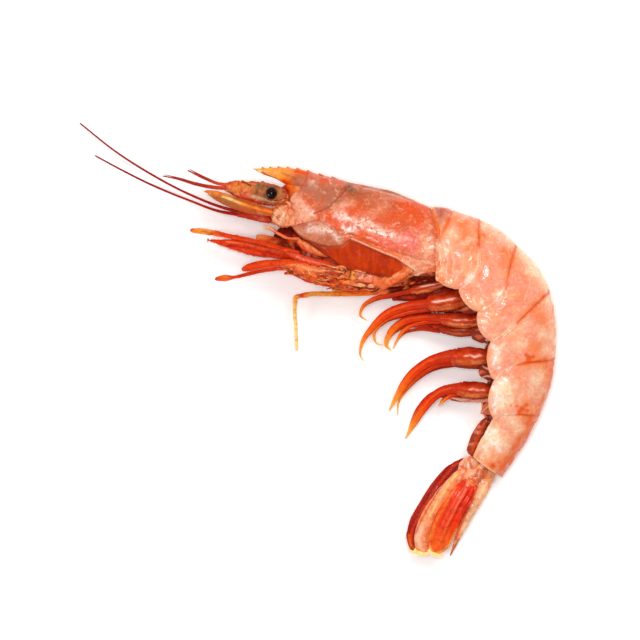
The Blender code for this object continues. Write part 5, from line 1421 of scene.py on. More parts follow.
LEFT_INNER_RIBS = [
    ((0.86, 0.24, 0.13), 0.8, 0.9, 0.5, (466, 489), (456, 507), (446, 527), (440, 542)),
    ((0.86, 0.22, 0.11), 0.6, 0.7, 0.4, (463, 488), (452, 506), (443, 523), (437, 540)),
    ((0.46, 0.012, 0.002), 0.9, 0.9, 0.4, (468.4, 491), (459, 508), (449.4, 527), (443, 543)),
    ((0.50, 0.012, 0.002), 1, 1, 1, (474, 490), (467, 506), (460, 524), (457, 536)),
]
LEFT_INNER_EDGES = [
    ((0.78, 0.05, 0.008), 2, 0.4, 0.4, (452, 508), (445, 522), (438, 536)),
    ((0.90, 0.24, 0.03), 1.6, 0.5, 0.8, (456, 487), (447, 502), (437, 520), (430, 538)),
    ((0.94, 0.46, 0.10), 1.2, 1, 0.6, (428, 545), (433, 553), (442, 553), (450, 544), (457, 530)),
    (ORANGE, 0.9, 0.5, 0.8, (453.6, 490), (444, 505), (435, 522), (428, 540)),
]
inner = blade(LEFT_INNER, [(470, 487), (457.5, 506), (447, 526), (440, 546)], 0.22, 2)
tint = Tint(inner, INNER_RED)
tint.mottle(INNER_CLOUD, 0.8, 1.6, 7.0, 0.0, 0.35, (1.0, 0.6, 1.0))
tint.marks(LEFT_INNER_RIBS)
tint.over(INNER_TIP, 0.8 * ease(tint.y, 520, 546))
tint.marks(LEFT_INNER_EDGES)
painted("fan_left_inner", [tint], fan_paint, "uropod_left_inner")
ends = fringe(inner, 0.93, 0.99, 420, 1.5, 0.85, 22)
hairs("fan_hairs_inner", ends, FAN_HAIR_WIDTH, FRINGE_YELLOW, fringe_paint, "uropod_left_inner")

RIGHT_OUTER_MARKS = [
    (SCARLET, 1.1, 0.4, 0.9, (457, 462.6), (438, 486), (424, 508), (412.6, 530), (411, 544)),
    # Painted shadow: a near-black line where the left outer blade's edge lies on this one.
    ((0.16, 0.004, 0.001), 1, 1, 0.5, (458, 466), (448, 478), (438, 492), (428, 509), (420, 524)),
    (ORANGE, 1.4, 0.7, 0.9, (409, 536), (411, 546), (418, 552)),
    (MAROON, 0.7, 0.8, 0.3, (463, 457.5), (450, 465), (434, 488), (420, 512), (409, 532)),
]
outer = blade(RIGHT_OUTER, [(462, 468), (444, 488), (430, 512), (418, 540)], 0.16, 3)
tint = Tint(outer, RIGHT_OUTER_RED)
tint.marks(RIGHT_OUTER_MARKS)
painted("fan_right_outer", [tint], fan_paint, "uropod_right_outer")
ends = fringe(outer, 0.91, 0.99, 240, 1.4, 0.80, 23)
hairs("fan_hairs_right", ends, FAN_HAIR_WIDTH, FRINGE_YELLOW, fringe_paint, "uropod_right_outer")

inner = blade(RIGHT_INNER, [(472, 480), (455, 506), (440, 540)], 0.14, 4)
painted("fan_right_inner", [Tint(inner, SCARLET)], fan_paint, "uropod_right_inner")

# ---------------------------------------------------------------- eyes and feelers
# Two black eyes on short stalks; below each a stout three-part stem with two lashes, a long clear scale
# with a stiff yellow outer rib, and an antenna: a broad pale base, a red stem and a whip of fine rings.

RIGHT_DROP = 0.8
RIGHT_LOWEST = 1.2
TIP_SLIM, TIP_SLIM_LATE = 0.6, 4
ROUTE_STEPS = 24
HEAD_CORE = [
    (304, 198, 9.4, 9, 7.4), (294, 199, 9.4, 9.6, 6), (285.6, 203, 9.4, 10.4, 3.6),
    (279.4, 205, 9.4, 10, 2.8), (272, 206, 9.4, 7, 2.6),
]
MOUTH_FLOOR = [
    (302, 236, 9.6, 6, 6.4), (290, 237, 9.4, 9, 5), (281, 237, 9.4, 7.6, 4), (275, 234, 9.2, 4, 2.6),
]
EYE_PLACE = (271.6, 193.3, 14.6)
EYE_HALF = (1.8, 2.05, 1.7)
EYE_FACET, EYE_FACET_DEPTH = 0.12, 0.003
EYE_BLACK = (0.004, 0.003, 0.003)
EYE_BROWN = (0.035, 0.012, 0.006)
STALK_ROWS = [
    (287, 195.6, 13.4, 3.4, 1.6), (281, 194.8, 13.4, 4.2, 1.6), (272, 193.4, 13.2, 4.8, 1.6),
    (264, 192.4, 12.9, 3.6, 1.4), (257, 191.6, 12.2, 1.2, 0.9),
]
ANTENNULE_ROWS = [
    (285, 198, 11.8, 5, 1.1), (272, 195.4, 11.7, 6.8, 1.1), (259, 193.2, 11.5, 6.8, 1.4),
    (245, 191.2, 11.2, 6.2, 2), (233, 187.8, 10.9, 4.4, 1.8), (225, 186.4, 10.7, 2.4, 1.5),
]
UPPER_FLAGELLUM = [
    (231, 185, 11, 1.2), (217, 183.4, 10.4, 0.9), (206, 179.2, 9.8, 0.75), (187.5, 170.2, 8.8, 0.45),
]
LOWER_FLAGELLUM = [
    (231, 188.6, 10.8, 1.3), (212, 187.2, 9.8, 1.15), (194, 183.8, 9, 0.85), (177, 178.8, 8.2, 0.55),
    (162.5, 175.8, 7.6, 0.4),
]
SCALE_ROWS = [
    (273.5, 213, 13.8, 2.4, 0.9), (258, 210.2, 13.9, 3.4, 0.9), (241, 205.2, 13.1, 3.8, 0.8),
    (224, 199.8, 12.2, 2.9, 0.6), (208, 194.4, 11.4, 0.6, 0.4),
]
SCALE_POINT = [
    (236, 199.6, 12.5, 1.4, 0.7), (224, 196.2, 12.2, 1.8, 0.7), (212, 193, 11.7, 1.3, 0.6),
    (203.6, 191.4, 11.3, 0.3, 0.3),
]
SCALE_LOWER = 0.9
SCALE_RIB = [(209, 193), (220, 195.5), (230, 199), (240, 203.3), (250, 206.7), (260, 209.6), (272, 212.6)]
RIGHT_HEAD_SHIFT = (1.5, -1.5)
ANTENNA_BASE = [
    (293, 214, 12.4, 6.4, 2), (287, 215.6, 13.3, 7.2, 2.4), (280, 216.8, 13.3, 6.8, 2.6),
    (272, 219, 12, 3.2, 1.8), (258, 217.4, 11, 2.6, 1.7), (246, 215.2, 10.4, 2.2, 1.6),
    (236, 214.4, 10, 1.7, 1.4),
]
WHIP_LEFT = [
    (243, 215, 10.3, 1.4), (220, 211.4, 9, 0.95), (190, 200.6, 6.8, 0.72), (150, 184, 3.8, 0.7),
    (120, 169, 1.9, 0.6), (93.5, 154.6, 0.9, 0.5),
]
WHIP_RIGHT = [
    (247, 213.4, 3.1, 1.3), (220, 206.4, 3, 0.95), (190, 194.4, 2.6, 0.75), (150, 173.4, 1.9, 0.7),
    (115, 151, 1.2, 0.6), (78.5, 122, 0.7, 0.5),
]


def under(rows, middle, keep=0.9, shift=(0.0, 0.0), drop=RIGHT_DROP, root_height=None):
    """The same limb on the right side, which lies under the left one and is mirrored in the middle plane."""
    route = smooth(rows, ROUTE_STEPS)[: round(ROUTE_STEPS * keep)]
    share = np.linspace(0.0, 1.0, len(route))
    root_height = route[0, 2] if root_height is None else root_height
    route[:, 0] += shift[0] * share
    route[:, 1] += shift[1] * share
    route[:, 2] = np.maximum(2 * middle - root_height - drop * (root_height - route[:, 2]), RIGHT_LOWEST)
    route[:, 3:] *= (1 - TIP_SLIM * share**TIP_SLIM_LATE)[:, None]
    return route


CORE_MARKS = [
    (RED, (287, 191, 4.5, 1), (284, 186, 3, 0.8), (270, 206, 3, 0.6), (290, 198, 3, 0.7)),
    (PEACH, (280, 205, 4, 0.3), (287, 212, 3, 0.5), (297, 188, 3, 0.5)),
    # Painted shadow: a dark line beside the eye stalk.
    (MAROON, 1.4, 0.8, 0.6, (283, 186.6), (288, 191), (289, 198), (287, 204)),
]
head_paint_soft = tissue("head_soft", 0.32, 0.2, 0.15, mottle=0.55, size=1.5, bump=0.12)
core = Tint(limb(HEAD_CORE, 60, 56, 0.10), ORANGE)
core.marks(CORE_MARKS)
# The mouth floor deep under the mouth parts is dark maroon: painted shade.
mouth_floor = Tint(limb(MOUTH_FLOOR, 50, 48, 0.10, seed=3), MAROON)
mouth_floor.mottle(RED, 0.6, 1.5, 0.0, 0.1, 0.5)
painted("head_core", [core, mouth_floor], head_paint_soft, "head")

eye_paint = Paint("eye_black", 0.3, film=0.7, depth=0.0)
eye_cloud = eye_paint.grain(1.2, 3.0)
eye_paint.colour(eye_paint.mix(eye_cloud.clip(0.45, 0.7), EYE_BLACK, EYE_BROWN))
facets = eye_paint.node("ShaderNodeTexVoronoi", {}, {"Scale": 1 / (EYE_FACET * MM)}, output="Distance")
eye_paint.relief(facets, EYE_FACET_DEPTH)
eye_paint.put(eye_paint.shader.inputs["Coat Roughness"], 0.09)
eye_paint.put(eye_paint.shader.inputs["Coat IOR"], 1.33)
feeler_paint = tissue("feeler_red", 0.24, 0.5, 0.05, mottle=0.4, size=1.0, bump=0.05)
socket_paint = tissue("eye_socket", 0.4, 0.0, 0.1, mottle=0.8, size=1.0, bump=0.14)
socket_paint.put(socket_paint.shader.inputs["Coat Roughness"], 0.3)
FLAKE_TONES = (
    (0.84, 0.30, 0.14), (0.90, 0.42, 0.24), (0.84, 0.20, 0.06), (0.66, 0.11, 0.02), (0.86, 0.34, 0.17),
)
STALK_SHADE = (0.60, 0.13, 0.03)
STEM_RED = (0.62, 0.13, 0.035)
STEM_PALE = (0.80, 0.28, 0.12)
SCALE_RED = (0.42, 0.085, 0.018)
SCALE_END = (0.32, 0.12, 0.03)
RIB_YELLOW = (0.96, 0.74, 0.30)
SCALE_CLOUD = (0.50, 0.07, 0.012)
SCALE_POINT_ORANGE = (0.84, 0.20, 0.03)
ANTENNA_RED = (0.52, 0.03, 0.008)
ANTENNA_PALE = (0.84, 0.32, 0.16)
ANTENNA_CLOUD = (0.70, 0.13, 0.03)
LASH_DARK = (0.40, 0.022, 0.008)
LASH_RED = (0.74, 0.075, 0.012)
WHIP_RED = (0.38, 0.008, 0.004)
WHIP_DARK = (0.25, 0.012, 0.008)
TAN = (0.42, 0.20, 0.075)
OLIVE = (0.20, 0.085, 0.02)
ORBIT = (0.44, 0.12, 0.03)

STALK_MARKS = [
    (TAN, (261, 189.6, 4.5, 1), (280.5, 191, 3, 0.8), (281.5, 196, 2.5, 0.8), (264, 195, 3, 0.7)),
    (OLIVE, (268, 186.4, 3.4, 0.9), (276, 187, 2.4, 0.8), (265, 197, 2.6, 0.7), (263, 189, 2.4, 0.6)),
    (BROWN, (277, 200, 2.4, 0.8), (270, 201, 2.4, 0.7), (283.5, 193, 1.6, 0.6), (256, 192, 2, 0.5)),
    (RED, (287, 192, 3.2, 1), (285, 187.4, 2.4, 0.9), (287, 198, 2.4, 0.8)),
]
STEM_CLOUDS = [
    (AMBER, (236, 187, 6, 0.5), (250, 186, 6, 0.45)),
    (SCARLET, (240, 184, 3, 0.6), (247, 192, 4, 0.5), (231, 184, 3, 0.7)),
]
STEM_MARKS = [
    (OLIVE, (259, 187, 4, 0.8), (266, 186, 3, 0.6), (256, 194, 3, 0.6)),
    (BROWN, (252, 191, 3, 0.6), (272, 204, 4, 0.5), (262, 203, 3, 0.5)),
    (ORBIT, (282, 190, 4, 0.8), (284, 197, 4, 0.8), (276, 203, 4, 0.7)),
    (CREAM, 1.3, 0.5, 0.9, (250, 196), (258, 197.6), (264, 199.4), (272, 201), (283, 199.5)),
    (RED, 1.4, 1, 1, (251, 182.4), (259.6, 180.6), (268.7, 182.2), (276, 185.6), (284, 189)),
    (RED, 1.3, 1, 1, (226, 193.5), (240, 197.4), (252, 200.6), (262, 204.8), (270.5, 205.4)),
    (MAROON, 0.9, 1, 1, (229, 181.8), (232, 180), (236, 180.6)),
    (MAROON, 0.9, 1, 1, (243, 182), (247, 183.6), (251, 186)),
]
SCALE_EDGES = [
    (ORANGE, 1.4, 0.8, 0.6, (203, 191.6), (214, 192.4), (227, 196)),
    ((0.50, 0.05, 0.01), 1.3, 0.4, 0.9, (212, 199), (226, 206.4), (242, 211.4), (258, 214.6)),
]
BASE_PALE = [
    ((0.95, 0.62, 0.42), (276, 217, 3, 0.8), (281, 221, 3, 0.6), (283, 212, 2.5, 0.4), (279, 210, 2, 0.5)),
    ((0.78, 0.15, 0.04), (283, 226, 3, 0.7), (289, 217, 2.4, 0.7), (284, 207, 3, 0.8), (289, 208, 3, 0.8)),
]
BASE_MARKS = [
    ((0.62, 0.13, 0.07), (262, 219, 3, 0.8), (255, 215, 3, 0.5)),
    (MAROON, 0.9, 1, 1, (268, 214.6), (271, 219), (271, 222)),
    (BROWN, 0.8, 0.6, 0.9, (272, 222), (277, 225.4), (284, 227.4), (291, 226.4)),
    (RED, 0.8, 0.8, 0.3, (291, 205), (287.6, 210), (288.4, 216), (286, 221)),
    (CREAM, 1, 0.8, 0.5, (274, 213), (280, 208.6), (286, 207)),
    (CREAM, 1, 0.6, 0.8, (276, 221), (282, 218), (285, 213)),
]

for side, sign in (("left", 1), ("right", -1)):
    def placed(rows, lower=0.0, root_height=None):
        if sign == 1:
            return rows
        return under(rows, HEAD_MIDDLE - lower, 1.0, RIGHT_HEAD_SHIFT, root_height=root_height)

    turn, climb = np.meshgrid(math.tau * np.arange(48) / 48, np.linspace(-0.49, 0.49, 40) * math.pi)
    half_x, half_y, half_z = EYE_HALF
    ball = np.stack([np.cos(climb) * np.cos(turn) * half_x, np.cos(climb) * np.sin(turn) * half_y,
                     np.sin(climb) * half_z], axis=-1) * MM
    height = HEAD_MIDDLE + sign * (EYE_PLACE[2] - HEAD_MIDDLE)
    skin(f"eye_ball_{side}", [(ball + at(*EYE_PLACE[:2], height), {})], eye_paint, f"eye_{side}")

    stalk = limb(placed(STALK_ROWS), 70, 40, 0.16, seed=2, blunt=0.3)
    tint = Tint(stalk, ORBIT)
    tint.marks(STALK_MARKS)
    tint.mottle(STALK_SHADE, 0.8, 0.9, 13.0, 0.05, 0.3)
    tint.mottle(BROWN, 0.6, 1.0, 3.0, 0.1, 0.4)
    painted(f"eye_stalk_{side}", [tint], socket_paint, f"eyestalk_{side}")

    stem = limb(placed(ANTENNULE_ROWS), 130, 56, 0.16, joints=(0.45, 0.78), seed=6)
    tint = Tint(stem, STEM_RED)
    tint.mottle(STEM_PALE, 0.8, 1.3, 8.0, 0.0, 0.35)
    tint.mottle(RED, 0.8, 1.0, 17.0, 0.08, 0.3)
    tint.mottle(BROWN, 0.8, 0.8, 27.0, 0.12, 0.35, (0.6, 1.4, 1.0))
    tint.marks(STEM_CLOUDS)
    mottled = ease(lumps(stem, 1.2, 31.0), -0.3, 0.1)
    tint.over(TAN, mottled * ease(tint.x, 252, 261) * ease(tint.x, 272, 266) * ease(tint.y, 200, 195))
    tint.marks(STEM_MARKS)
    stem_root = ANTENNULE_ROWS[0][2]
    tints = [tint]
    for rows in (UPPER_FLAGELLUM, LOWER_FLAGELLUM):
        lash = Tint(limb(placed(rows, root_height=stem_root), 150, 14, 0.02), LASH_DARK)
        lash.over(LASH_RED, 0.9 * ease(lash.x, 200, 228))
        tints.append(lash)
    painted(f"feeler_short_{side}", tints, socket_paint, f"antennule_{side}")

    scale = limb(placed(SCALE_ROWS, SCALE_LOWER), 110, 44, 0.04, seed=8)
    x, y = pixels(scale)
    height = 0.26 * stroke(x, y, SCALE_RIB, 1.5) - 0.14 * stroke(x, y - 3, SCALE_RIB, 1.5)
    scale = raised(scale, height)
    tint = Tint(scale, SCALE_RED)
    tint.over(SCALE_END, 0.8 * ease(tint.x, 245, 225))
    tint.line(ORANGE, 1.9, 0.7, 1.0, *SCALE_RIB)
    tint.line(RIB_YELLOW, 1.2, 1.0, 0.8, *SCALE_RIB[:4])
    tint.line(AMBER, 1.2, 0.8, 0.2, *SCALE_RIB[3:6])
    tint.marks(SCALE_EDGES)
    tint.mottle(SCALE_CLOUD, 0.6, 1.6, 2.0, 0.0, 0.4, within=ease(tint.y - tint.x * 0.3, 133, 137))
    point = Tint(limb(placed(SCALE_POINT, SCALE_LOWER), 40, 20, 0.08, seed=3), SCALE_POINT_ORANGE)
    point.mottle(TAN, 0.5, 1.2, 2.0, 0.0, 0.4)
    painted(f"scale_blade_{side}", [tint, point], head_paint_soft, f"antennal_scale_{side}")

    base = limb(placed(ANTENNA_BASE), 150, 56, 0.10, joints=(0.42, 0.62), pinch=0.07, seed=9, blunt=0.06)
    lobe = ease(pixels(base)[0], 270, 276)
    crags = 0.7 * lumps(base, 2.0, 3.0) + 0.5 * lumps(base * [1.3, 0.6, 1.0], 1.0) + 0.2 * lumps(base, 0.5)
    base = raised(base, lobe * crags)
    tint = Tint(base, ANTENNA_RED)
    tint.over(ANTENNA_PALE, ease(tint.x, 270.5, 275))
    tint.marks(BASE_PALE)
    tint.mottle(ANTENNA_CLOUD, 0.6, 1.1, 5.0, 0.12, 0.4, within=ease(tint.x, 270, 276))
    tint.marks(BASE_MARKS)
    flakes = shreds(26, [(276, 216), (282, 214), (288, 213)], 4.0, 75.0, 11.0, 14.15, 1.1, FLAKE_TONES, 7)
    whip = Tint(limb(WHIP_LEFT if sign == 1 else WHIP_RIGHT, 420, 12, 0.01), WHIP_RED)
    whip.over(WHIP_DARK, 0.7 * ease(whip.x, 190, 100))
    tints = [tint, whip, *(flakes if sign == 1 else [])]
    painted(f"feeler_long_{side}", tints, feeler_paint, f"antenna_{side}")

# ---------------------------------------------------------------- mouth parts
# Thin flattened limbs that fold under the mouth: a palp like a petal, a forked strip, a square plate and one
# long red leg with a fringe of hairs, on each side.

PALP_ROWS = [
    (327.5, 256.6, 14, 0.6, 0.5), (316, 252.4, 14.2, 2.1, 0.9), (306, 247, 14.3, 2.7, 1),
    (298, 240.6, 13.8, 1.4, 0.7),
]
MAXILLIPED_1_ROWS = [
    (300, 239, 12.6, 1, 0.8), (287, 238, 12.8, 0.8, 0.7), (278, 233.4, 12.6, 0.9, 0.7),
    (270.5, 228.4, 12.2, 1, 0.7), (264.5, 229.6, 11.8, 0.5, 0.5),
]
MAXILLIPED_2_ROWS = [
    (293, 249, 12.9, 1.4, 0.8), (284, 245.4, 12.4, 2.8, 1), (272, 240.8, 11.2, 2.8, 1),
    (262, 238, 10.4, 2.2, 0.9), (256, 237.2, 10, 1.6, 0.8),
]
MAXILLIPED_3_ROWS = [
    (309, 260, 13.6, 1.4, 1), (294, 256.8, 13, 2, 1.3), (276, 252.8, 11.4, 3.2, 1.6),
    (250, 247.4, 9.2, 4.4, 1.6), (230, 243.8, 8, 2.8, 1.3), (209, 240.2, 7.2, 0.5, 0.5),
]
FORK_ROWS = [(274, 231, 12.5, 0.7, 0.6), (267, 226.6, 12.3, 0.7, 0.5), (262.6, 225.6, 12, 0.3, 0.2)]
MOUTH_HAIR_WIDTH = 0.09
MOUTH_HAIR_RED = (0.74, 0.10, 0.02)
PALP_RED = (0.72, 0.13, 0.03)
PALP_CLOUD = (0.50, 0.03, 0.006)
MOUTH_STRIP_ORANGE = (0.80, 0.15, 0.05)
MOUTH_PLATE_RED = (0.60, 0.09, 0.016)
MOUTH_PLATE_TIP = (0.84, 0.28, 0.08)
MOUTH_PLATE_CLOUD = (0.34, 0.02, 0.004)
MOUTH_LEG_RED = (0.74, 0.042, 0.004)
MOUTH_LEG_CLOUD = (0.50, 0.016, 0.002)
RIGHT_MOUTH_KEEP = 0.86
RIGHT_MOUTH_SHIFT = (0.0, 1.5)

PALP_MARKS = [
    ((0.88, 0.34, 0.14), 1.3, 0.7, 0.5, (300, 241), (307, 245.6), (315, 250), (322, 254)),
    (SCARLET, 1.6, 1, 1, (299, 246), (304, 251.4), (312, 255.4), (322, 257)),
]
PLATE_SHADE = [
    (RED, 1.4, 0.6, 1, (262, 241), (274, 246), (286, 250)),
]
LONG_LEG_MARKS = [
    ((0.88, 0.18, 0.05), 1, 0.8, 0.7, (226, 241.6), (244, 243.6), (262, 248), (284, 252.4)),
    ((0.42, 0.012, 0.002), 1, 0.8, 0.9, (228, 245), (244, 247.4), (262, 251.6), (280, 255.6)),
]

mouth_paint = tissue("mouth_wet", 0.28, 0.15, 0.12, mottle=0.6, size=1.5, bump=0.12)
for side in ("left", "right"):
    def mouth_limb(rows, *shape, **more):
        if side == "right":
            rows = under(rows, HEAD_MIDDLE, RIGHT_MOUTH_KEEP, RIGHT_MOUTH_SHIFT)
        return limb(rows, *shape, **more)

    palp = mouth_limb(PALP_ROWS, 70, 40, 0.06)
    tint = Tint(palp, PALP_RED)
    tint.marks(PALP_MARKS)
    tint.mottle(PALP_CLOUD, 0.5, 1.2, 3.0, 0.1, 0.4)
    painted(f"mouth_palp_{side}", [tint], mouth_paint, f"mandible_palp_{side}")

    strip = mouth_limb(MAXILLIPED_1_ROWS, 80, 30, 0.10)
    tint = Tint(strip, MOUTH_STRIP_ORANGE)
    tint.over(PEACH, 0.7 * ease(tint.x, 278, 268))
    fork = [Tint(limb(FORK_ROWS, 24, 12), PEACH)] if side == "left" else []
    painted(f"mouth_strip_{side}", [tint, *fork], mouth_paint, f"maxilliped_1_{side}")

    plate = mouth_limb(MAXILLIPED_2_ROWS, 80, 40, 0.10)
    tint = Tint(plate, MOUTH_PLATE_RED)
    tint.over(MOUTH_PLATE_TIP, 0.6 * ease(tint.x, 270, 258))
    tint.marks(PLATE_SHADE)
    tint.mottle(MOUTH_PLATE_CLOUD, 0.7, 1.4, 6.0, 0.05, 0.35, (0.4, 1.2, 1.0))
    # Painted shade: the plate's root goes dark maroon where it runs in under the other mouth parts.
    tint.over(MAROON, 0.9 * ease(tint.x, 274, 282))
    painted(f"mouth_plate_{side}", [tint], mouth_paint, f"maxilliped_2_{side}")

    long_leg = mouth_limb(MAXILLIPED_3_ROWS, 130, 44, 0.10, joints=(0.42, 0.66))
    tint = Tint(long_leg, MOUTH_LEG_RED)
    tint.mottle(MOUTH_LEG_CLOUD, 0.8, 1.2, 5.0, 0.0, 0.3, (0.35, 1.4, 1.0))
    tint.over(RED, 0.6 * ease(tint.x, 222, 208))
    tint.marks(LONG_LEG_MARKS)
    node = f"maxilliped_3_{side}"
    painted(f"mouth_leg_{side}", [tint], mouth_paint, node)
    ends = fringe(long_leg, 0.35, 0.95, 320, 1.1, 0.6, 31)
    hairs(f"mouth_hairs_{side}", ends, MOUTH_HAIR_WIDTH, MOUTH_HAIR_RED, mouth_paint, node)

# ---------------------------------------------------------------- walking legs
# Five pairs of slim jointed legs. The first three pairs end in small claws; the last, longest pair turns down
# at its knee and thins to a pale point.

LEG_ROWS = {
    1: [
        (300, 253.5, 15.3, 1.5), (288, 251, 14.6, 1.7), (274, 246.6, 13.2, 1.6), (256, 241.6, 11.4, 1.5),
        (232, 236.6, 9, 1.4), (212, 232.6, 7.4, 1.8), (200, 231, 6.8, 1.9), (189.8, 230.2, 6.4, 1.1),
    ],
    2: [
        (338, 274.6, 14.6, 2), (316, 269.6, 14.8, 2.4), (296, 263.8, 14.6, 2.6), (276, 263.4, 13.2, 2.4),
        (260, 265.2, 12.2, 2.8), (250, 267.4, 11.6, 2.6), (241.6, 269.8, 11.2, 1.2),
    ],
    3: [
        (352, 284.6, 13.6, 2.2), (328, 281, 13.7, 2.6), (304, 274.4, 12.9, 2.4), (290, 268.4, 11.6, 2),
        (270, 269.2, 9.8, 1.5), (248, 274, 8.4, 1.2), (233, 277.4, 7.6, 1.2), (224, 278, 7.2, 2.1),
        (214.6, 279.2, 6.8, 1),
    ],
    4: [
        (400, 283.6, 13.6, 1.6), (380, 285.2, 14.6, 1.7), (358, 284.2, 15.8, 1.6), (341, 282, 16.4, 1.4),
        (333, 284, 16, 1.2), (342, 288, 14.6, 1), (360, 289.6, 13.6, 0.8),
    ],
    5: [
        (412, 285, 12, 1.4), (396, 289.4, 11.4, 1.7), (374, 292.4, 10, 1.8), (340, 294, 7.4, 1.6),
        (304, 295.2, 5.4, 1.5), (296, 297.4, 4.9, 1.5), (294.8, 305, 4.3, 1.3), (295.8, 328, 2.3, 1.15),
        (297, 350.9, 0.9, 1),
    ],
}
RIGHT_LEG_5 = [
    (408, 285.5, 7, 1.5), (390, 289, 6, 1.7), (364, 291.4, 4.6, 1.6), (342, 291.6, 3.4, 1.4),
    (334, 289.6, 2.6, 1.3), (344, 287, 1.6, 1.1), (366, 287.6, 1.1, 0.9), (388, 288.6, 0.9, 0.7),
]
RIGHT_LEG_KEEP = {1: 0.84, 2: 0.84, 3: 0.55, 4: 0.84}
RIGHT_LEG_SHIFT = {1: (2.0, 1.0), 2: (2.0, 2.5), 3: (3.0, 5.5), 4: (0.0, 0.0)}
RIGHT_LEG_DROP = {1: RIGHT_DROP, 2: RIGHT_DROP, 3: RIGHT_DROP, 4: -1.0}
ROOT_SINK = 1.6
LEG_JOINTS = {
    1: (0.3, 0.62, 0.80), 2: (0.3, 0.6), 3: (0.3, 0.55, 0.86), 4: (0.35, 0.62), 5: (0.2, 0.42, 0.655),
}
LEG_VEINS = {1: 0.6, 2: 0.5, 3: 0.55, 4: 0.5, 5: 0.25}
LEG_DEEP = (0.72, 0.045, 0.004)
LEG_VEIN_RED = (0.50, 0.02, 0.003)
LEG_TONES = {
    1: ((0, LEG_DEEP), (0.4, LEG_DEEP), (0.7, SCARLET), (0.78, ORANGE), (0.84, AMBER), (1, ORANGE)),
    2: ((0, ORANGE), (0.25, (0.86, 0.12, 0.02)), (0.5, (0.80, 0.07, 0.006)), (0.85, LEG_DEEP), (1, SCARLET)),
    3: ((0, ORANGE), (0.3, ORANGE), (0.55, SCARLET), (0.7, LEG_DEEP), (0.86, SCARLET), (0.93, ORANGE),
        (1, RED)),
    4: ((0, SALMON), (0.4, PEACH), (0.6, ORANGE), (1, SALMON)),
    5: ((0, SALMON), (0.3, ORANGE), (0.6, AMBER), (0.645, SCARLET), (0.68, AMBER), (0.8, STRAW), (1, STRAW)),
}

leg_paint = tissue("leg_wet", 0.3, 0.2, 0.14, mottle=0.5, size=1.3, bump=0.08)
for number, rows in LEG_ROWS.items():
    for side in ("left", "right"):
        if side == "right" and number in RIGHT_LEG_SHIFT:
            keep, shift, drop = RIGHT_LEG_KEEP[number], RIGHT_LEG_SHIFT[number], RIGHT_LEG_DROP[number]
            rows = under(rows, HEAD_MIDDLE, keep, shift, drop)
        elif side == "right":
            rows = RIGHT_LEG_5
        leg = limb(rows, 200, 26, 0.05, joints=LEG_JOINTS[number], pinch=0.14, seed=number, sink=ROOT_SINK)
        tint = Tint(leg, blend_along(leg, *LEG_TONES[number]))
        share = share_along(leg.mean(axis=1))[:, None]
        for joint in LEG_JOINTS[number]:
            tint.over(RED, 0.6 * hump(share, 0.008, joint))
        veined = ease(lumps(leg * [0.4, 1.3, 1.0], 1.3, number), 0.05, 0.35)
        tint.over(LEG_VEIN_RED, LEG_VEINS[number] * veined)
        # Painted shade: the last leg's root turns dark maroon where it runs in under the body.
        if number == 5:
            tint.over(MAROON, ease(tint.x, 383, 392))
        painted(f"walking_leg_{number}_{side}", [tint], leg_paint, f"leg_{number}_{side}")

# ---------------------------------------------------------------- swimmerets
# Five pairs of paddles under the tail. Each has a stout wet base and one or two flattened lashes that curl
# back to thin yellow tips.

